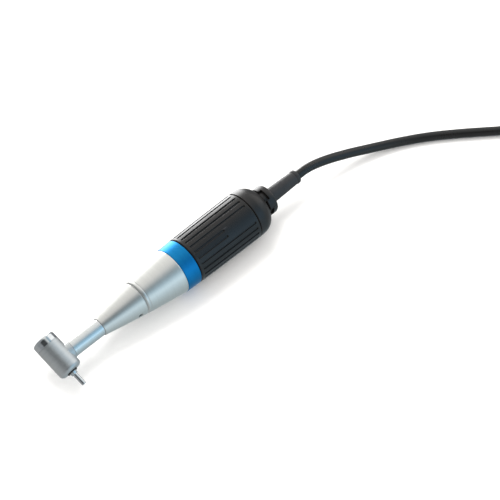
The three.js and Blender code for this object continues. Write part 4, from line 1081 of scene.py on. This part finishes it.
COLLAR_START = BODY_END + SEAM
COLLAR_END = COLLAR_START + 12.0
KNURL_ROWS = 8
KNURL_ROW = 0.6
KNURL = (COLLAR_START + 1.2, COLLAR_START + 1.2 + KNURL_ROWS * KNURL_ROW)
plug_collar = spun("plug_lock_ring", [
    (COLLAR_START, PLUG_RADIUS - 1.6),
    (COLLAR_END, PLUG_RADIUS - 1.6),
    (COLLAR_END, PLUG_RADIUS - 0.3),
    (COLLAR_END - 0.3, PLUG_RADIUS),
    (KNURL[1] + 0.8, PLUG_RADIUS),
    (KNURL[1] + 0.4, PLUG_RADIUS - 0.3),
    *[(KNURL[1] - KNURL_ROW * i, PLUG_RADIUS - 0.2) for i in range(KNURL_ROWS + 1)],
    (KNURL[0] - 0.4, PLUG_RADIUS - 0.3),
    (COLLAR_START + 0.3, PLUG_RADIUS - 0.3),
    (COLLAR_START, PLUG_RADIUS - 0.5),
], PLUG_LINE, 96)
editing(plug_collar)


def in_knurl(face):
    """The knurled band's outward faces."""
    offset = face.calc_center_median() - PLUG_LINE[0]
    station = offset.x / MM
    out = math.hypot(offset.y, offset.z) / MM
    return KNURL[0] < station < KNURL[1] and out > PLUG_RADIUS - 0.4


choose(plug_collar, "FACE", in_knurl)
bpy.ops.mesh.inset(thickness=0.13 * MM, depth=0.14 * MM, use_individual=True)
editing_done()
soften(plug_collar, 0.0)
finished(plug_collar, satin_stainless_motor, "motor", "satin_steel", "plug_collar")

INSERT_END = COLLAR_END - 8.0
insulator = spun("plug_insulator", [
    (COLLAR_START, 0.0),
    (COLLAR_START, PLUG_RADIUS - 2.0),
    (INSERT_END - 0.3, PLUG_RADIUS - 2.0),
    (INSERT_END, PLUG_RADIUS - 2.3),
    (INSERT_END, 4.6),
    (INSERT_END - 0.3, 4.5),
    (INSERT_END - 0.3, 0.0),
], PLUG_LINE, 72)
soften(insulator, 0.08)
finished(insulator, cream_pbt, "motor", "insulator", "plug_insert")
PIN_CIRCLE = 3.2
pin_line = (PLUG_LINE[0] + radial(0.0) * PIN_CIRCLE * MM, ALONG, radial(0.0))
pin = spun("pin", [
    (INSERT_END - 1.0, 0.0), (INSERT_END - 1.0, 0.5), (INSERT_END + 2.4, 0.5),
    *arc(INSERT_END + 2.4, 0.0, 0.6, 0.5, 80, 10, 5), (INSERT_END + 3.0, 0.0),
], pin_line, 24)
pins = around(pin, 5, PLUG_LINE)
pins.name = "plug_pins"
soften(pins, 0.0)
finished(pins, gold_plate, "motor", "insulator")

# ------------------------------------------------------------------ the coil's tie
TIE_WIDTH = 7.0
TIE_THICKNESS = 0.6
TIE_CORNER = 2.2
tie_low, tie_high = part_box("coil_tie")
tie_centre = (tie_low + tie_high) / 2
tie_half = (tie_high - tie_low) / 2
tie_wide = tie_half.y / MM - TIE_THICKNESS
tie_tall = tie_half.z / MM - TIE_THICKNESS
tie_path = []
for quarter, (side, level) in enumerate([(1, 1), (-1, 1), (-1, -1), (1, -1)]):
    for step in range(7):
        angle = math.radians(90 * quarter + 15 * step)
        tie_path.append((
            side * (tie_wide - TIE_CORNER) + TIE_CORNER * math.cos(angle),
            level * (tie_tall - TIE_CORNER) + TIE_CORNER * math.sin(angle),
        ))
tie = traced("loop_tape_tie", [
    tie_centre + Vector((-TIE_WIDTH / 2, aside, up)) * MM for aside, up in tie_path + tie_path[:1]
])
bpy.ops.mesh.remove_doubles(threshold=MERGE_GAP)
TIE_STEPS = 6
for _ in range(TIE_STEPS):
    bpy.ops.mesh.extrude_region_move(TRANSFORM_OT_translate={"value": (TIE_WIDTH / TIE_STEPS * MM, 0, 0)})
closed_up()
modified(tie, "SOLIDIFY", thickness=TIE_THICKNESS * MM, offset=1.0)
soften(tie, 0.12)
finished(tie, loop_tape, "motor", "matte_black", "coil_tie")

# ------------------------------------------------------------------ the cord's finish
cord.data.materials.append(cord_jacket)
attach(cord, "motor")
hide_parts("cord_run", "cord_coil", "cord_tail")

# ------------------------------------------------------------------ the hidden works
HIDDEN_FINISHES = [
    (satin_stainless_motor, ["motor_can", "motor_nose", "cord_clamp"]),
    (satin_stainless, ["bearing_washer"]),
    (turned_aluminium, ["front_bearing_carrier", "rear_bearing_carrier"]),
    (bearing_steel, [
        *[f"{end}_bearing_{part}" for end in ("front", "rear")
          for part in ("outer_ring", "inner_ring", "caged_balls")],
        "shaft_bearing_front", "shaft_bearing_rear", "spindle_bearing_upper", "spindle_bearing_lower",
        "motor_shaft", "drive_shaft",
    ]),
    (hardened_steel, ["spindle_gear", "drive_pinion", "drive_dog", "motor_driver"]),
    (turned_brass, ["socket_sleeve"]),
    (stacked_iron, ["stator_stack"]),
    (wound_copper, ["front_winding", "rear_winding"]),
    (sintered_ferrite, ["rotor_magnet"]),
    (board_epoxy, ["terminal_board"]),
    (soft_rubber, ["rear_seal", "nose_seal"]),
    (cord_jacket, ["cord_lead_in"]),
]
for finish, names in HIDDEN_FINISHES:
    for name in names:
        mesh = frame["nodes"][name].data
        mesh.materials.clear()
        mesh.materials.append(finish)

# ------------------------------------------------------------------ the studio
FLOOR_SIZE = 8.0
deselect()
bpy.ops.mesh.primitive_plane_add(size=FLOOR_SIZE)
floor = bpy.context.object
floor.name = "studio_floor"
floor_paper, floor_tree = new_material("paper_backdrop_matte")
floor_place = put(floor_tree, "ShaderNodeTexCoord").outputs["Object"]
floor_tooth = put(floor_tree, "ShaderNodeTexNoise", {"Vector": floor_place, "Scale": 300.0, "Detail": 2.0})
floor_tone = put(floor_tree, "ShaderNodeValToRGB", {"Fac": floor_tooth},
                 stops=[(0.0, "#F6F6F6"), (1.0, "#FBFBFB")])
close_material(floor_tree, {"Base Color": floor_tone, "Roughness": 0.9,
                            "Specular IOR Level": 0.0})
floor.data.materials.append(floor_paper)
# The metal mirrors the drawn room and not the bare sheet, which would wash its lower side out.
floor.visible_glossy = False

# A soft box high on the far side. It lights the surfaces and isn't mirrored.
KEY_PLACE = Vector((0.17, 0.5, 0.95))
KEY_SIZE = 0.5
KEY_POWER = 7.5
bpy.ops.object.light_add(type="AREA", location=KEY_PLACE)
key_softbox = bpy.context.object
key_softbox.name = "key_softbox"
key_softbox.data.shape = "RECTANGLE"
key_softbox.data.size = KEY_SIZE
key_softbox.data.size_y = KEY_SIZE
key_softbox.data.energy = KEY_POWER
key_softbox.data.color = to_linear("#FFFDFA")[:3]
key_softbox.rotation_euler = (-KEY_PLACE).to_track_quat("-Z", "Y").to_euler()
key_softbox.visible_glossy = False

# The room as the metal sees it, drawn by the roll round the handpiece: 0 is straight up and a
# quarter turn is level in front. Four bands follow one another from the head to the rear: ahead,
# over the cones, behind, and a bright card. A window and one dark card are laid over them.
ROOM_STRENGTH = 1.4
WINDOW_STRENGTH = 6.0
world = bpy.data.worlds.new("studio_room")
bpy.context.scene.world = world
world.use_nodes = True
room = world.node_tree
room.nodes.clear()
sight = put(room, "ShaderNodeTexCoord").outputs["Generated"]
split = put(room, "ShaderNodeSeparateXYZ", {"Vector": sight})
forward = put(room, "ShaderNodeMath", {0: split.outputs["Y"], 1: -1.0}, operation="MULTIPLY")
roll = put(room, "ShaderNodeMath", {0: forward, 1: split.outputs["Z"]}, operation="ARCTAN2")
turn_share = put(room, "ShaderNodeMapRange", {
    "Value": roll, "From Min": -math.pi, "From Max": math.pi,
}).outputs[0]


def room_band(*hues):
    """A colour for each roll, given as pairs of degrees and hue."""
    return put(room, "ShaderNodeValToRGB", {"Fac": turn_share}, stops=[
        ((degrees + 180.0) / 360.0, hue) for degrees, hue in hues
    ]).outputs["Color"]


over_cones = room_band(
    (-180, "#8E989C"), (-160, "#C4C6C6"), (-147, "#E4E4E4"), (-110, "#FFFFFE"), (-81, "#FFFFFD"),
    (-59, "#ECECEA"), (-37, "#E0E0DD"), (-15, "#DCDBD8"), (7, "#CDCFCF"), (24, "#A6B2B8"),
    (40, "#8FA7B2"), (58, "#B0CAD8"), (73, "#DCF2FC"), (88, "#BCD0DA"), (117, "#A4B4BA"),
    (150, "#98A4A8"),
)
behind = room_band(
    (-180, "#98A2A6"), (-160, "#D0D2D2"), (-147, "#FFFFFF"), (-81, "#FAFAFA"), (-59, "#EAEBEB"),
    (-37, "#DCDEE0"), (-15, "#C8CED2"), (7, "#9FAFB9"), (25, "#6E96B0"), (48, "#74B0D6"),
    (73, "#98D2F8"), (95, "#9DBFD2"), (117, "#95AEBC"), (139, "#8C9EA6"), (161, "#8B989D"),
)
ahead = room_band((-180, "#9A9B9C"), (-120, "#989A9B"), (-60, "#8E9194"), (15, "#84878A"),
                  (60, "#8A9093"), (110, "#9A9FA2"))
card = room_band((-180, "#8A8D90"), (-145, "#76787B"), (-110, "#76787B"), (-66, "#A4A6A8"),
                 (-48, "#FFFFFF"), (15, "#FFFFFF"), (45, "#C4D8E4"), (110, "#A0A8AC"))
BAND_CHANGES = [(0.24, 0.36, behind), (0.5, 0.68, card), (0.02, -0.25, ahead)]
bands = over_cones
for change_start, change_end, band in BAND_CHANGES:
    band_share = put(room, "ShaderNodeMapRange", {
        "Value": split.outputs["X"], "From Min": change_start, "From Max": change_end,
    })
    bands = put(room, "ShaderNodeMix", {0: band_share, 6: bands, 7: band},
                data_type="RGBA").outputs[2]
# A dark card stands still in one direction, and gives bright metal something dark to mirror.
to_patch = put(room, "ShaderNodeVectorMath", {0: sight, 1: towards_camera}, operation="DOT_PRODUCT")
patch = put(room, "ShaderNodeValToRGB", {"Fac": to_patch.outputs["Value"]}, stops=[
    (0.0, 1.0), (0.84, 1.0), (0.885, 0.6), (0.925, 0.24), (1.0, 0.2),
])
seen = put(room, "ShaderNodeMix", {
    0: 1.0, 6: bands, 7: patch,
}, data_type="RGBA", blend_type="MULTIPLY")
ray = put(room, "ShaderNodeLightPath")
# A tall window stands low on the far side: it lines the upper edges of the black mouldings.
window = put(room, "ShaderNodeValToRGB", {"Fac": turn_share}, stops=[
    (0.0, 0.0), (0.14, 0.0), (0.19, 1.0), (0.28, 1.0), (0.32, 0.0), (1.0, 0.0),
])
window_span = put(room, "ShaderNodeValToRGB", {"Fac": split.outputs["X"]}, stops=[
    (0.0, 0.0), (0.28, 0.0), (0.36, 1.0), (0.5, 1.0), (0.62, 0.0), (1.0, 0.0),
])
window_share = put(room, "ShaderNodeMath", {0: window, 1: window_span},
                   operation="MULTIPLY")
window_light = put(room, "ShaderNodeMath", {0: window_share, 1: WINDOW_STRENGTH}, operation="MULTIPLY")
# Matt surfaces and the backdrop get an even, neutral light from all round instead.
lit = put(room, "ShaderNodeMix", {
    0: ray.outputs["Is Glossy Ray"], 6: to_linear("#F4F3F1"), 7: seen.outputs[2],
}, data_type="RGBA")
sky = put(room, "ShaderNodeBackground", {"Color": lit.outputs[2], "Strength": ROOM_STRENGTH})
glow_strength = put(room, "ShaderNodeMath", {0: window_light, 1: ray.outputs["Is Glossy Ray"]},
                    operation="MULTIPLY")
glow = put(room, "ShaderNodeBackground", {
    "Color": (1.0, 1.0, 1.0, 1.0), "Strength": glow_strength,
})
whole_sky = put(room, "ShaderNodeAddShader", {0: sky, 1: glow})
put(room, "ShaderNodeOutputWorld", {"Surface": whole_sky})

scene = bpy.context.scene
scene.view_settings.view_transform = "Standard"
scene.view_settings.look = "None"
scene.view_settings.exposure = 0.0
scene.view_settings.gamma = 1.0

# ------------------------------------------------------------------ the scene's final update
bpy.context.view_layer.update()
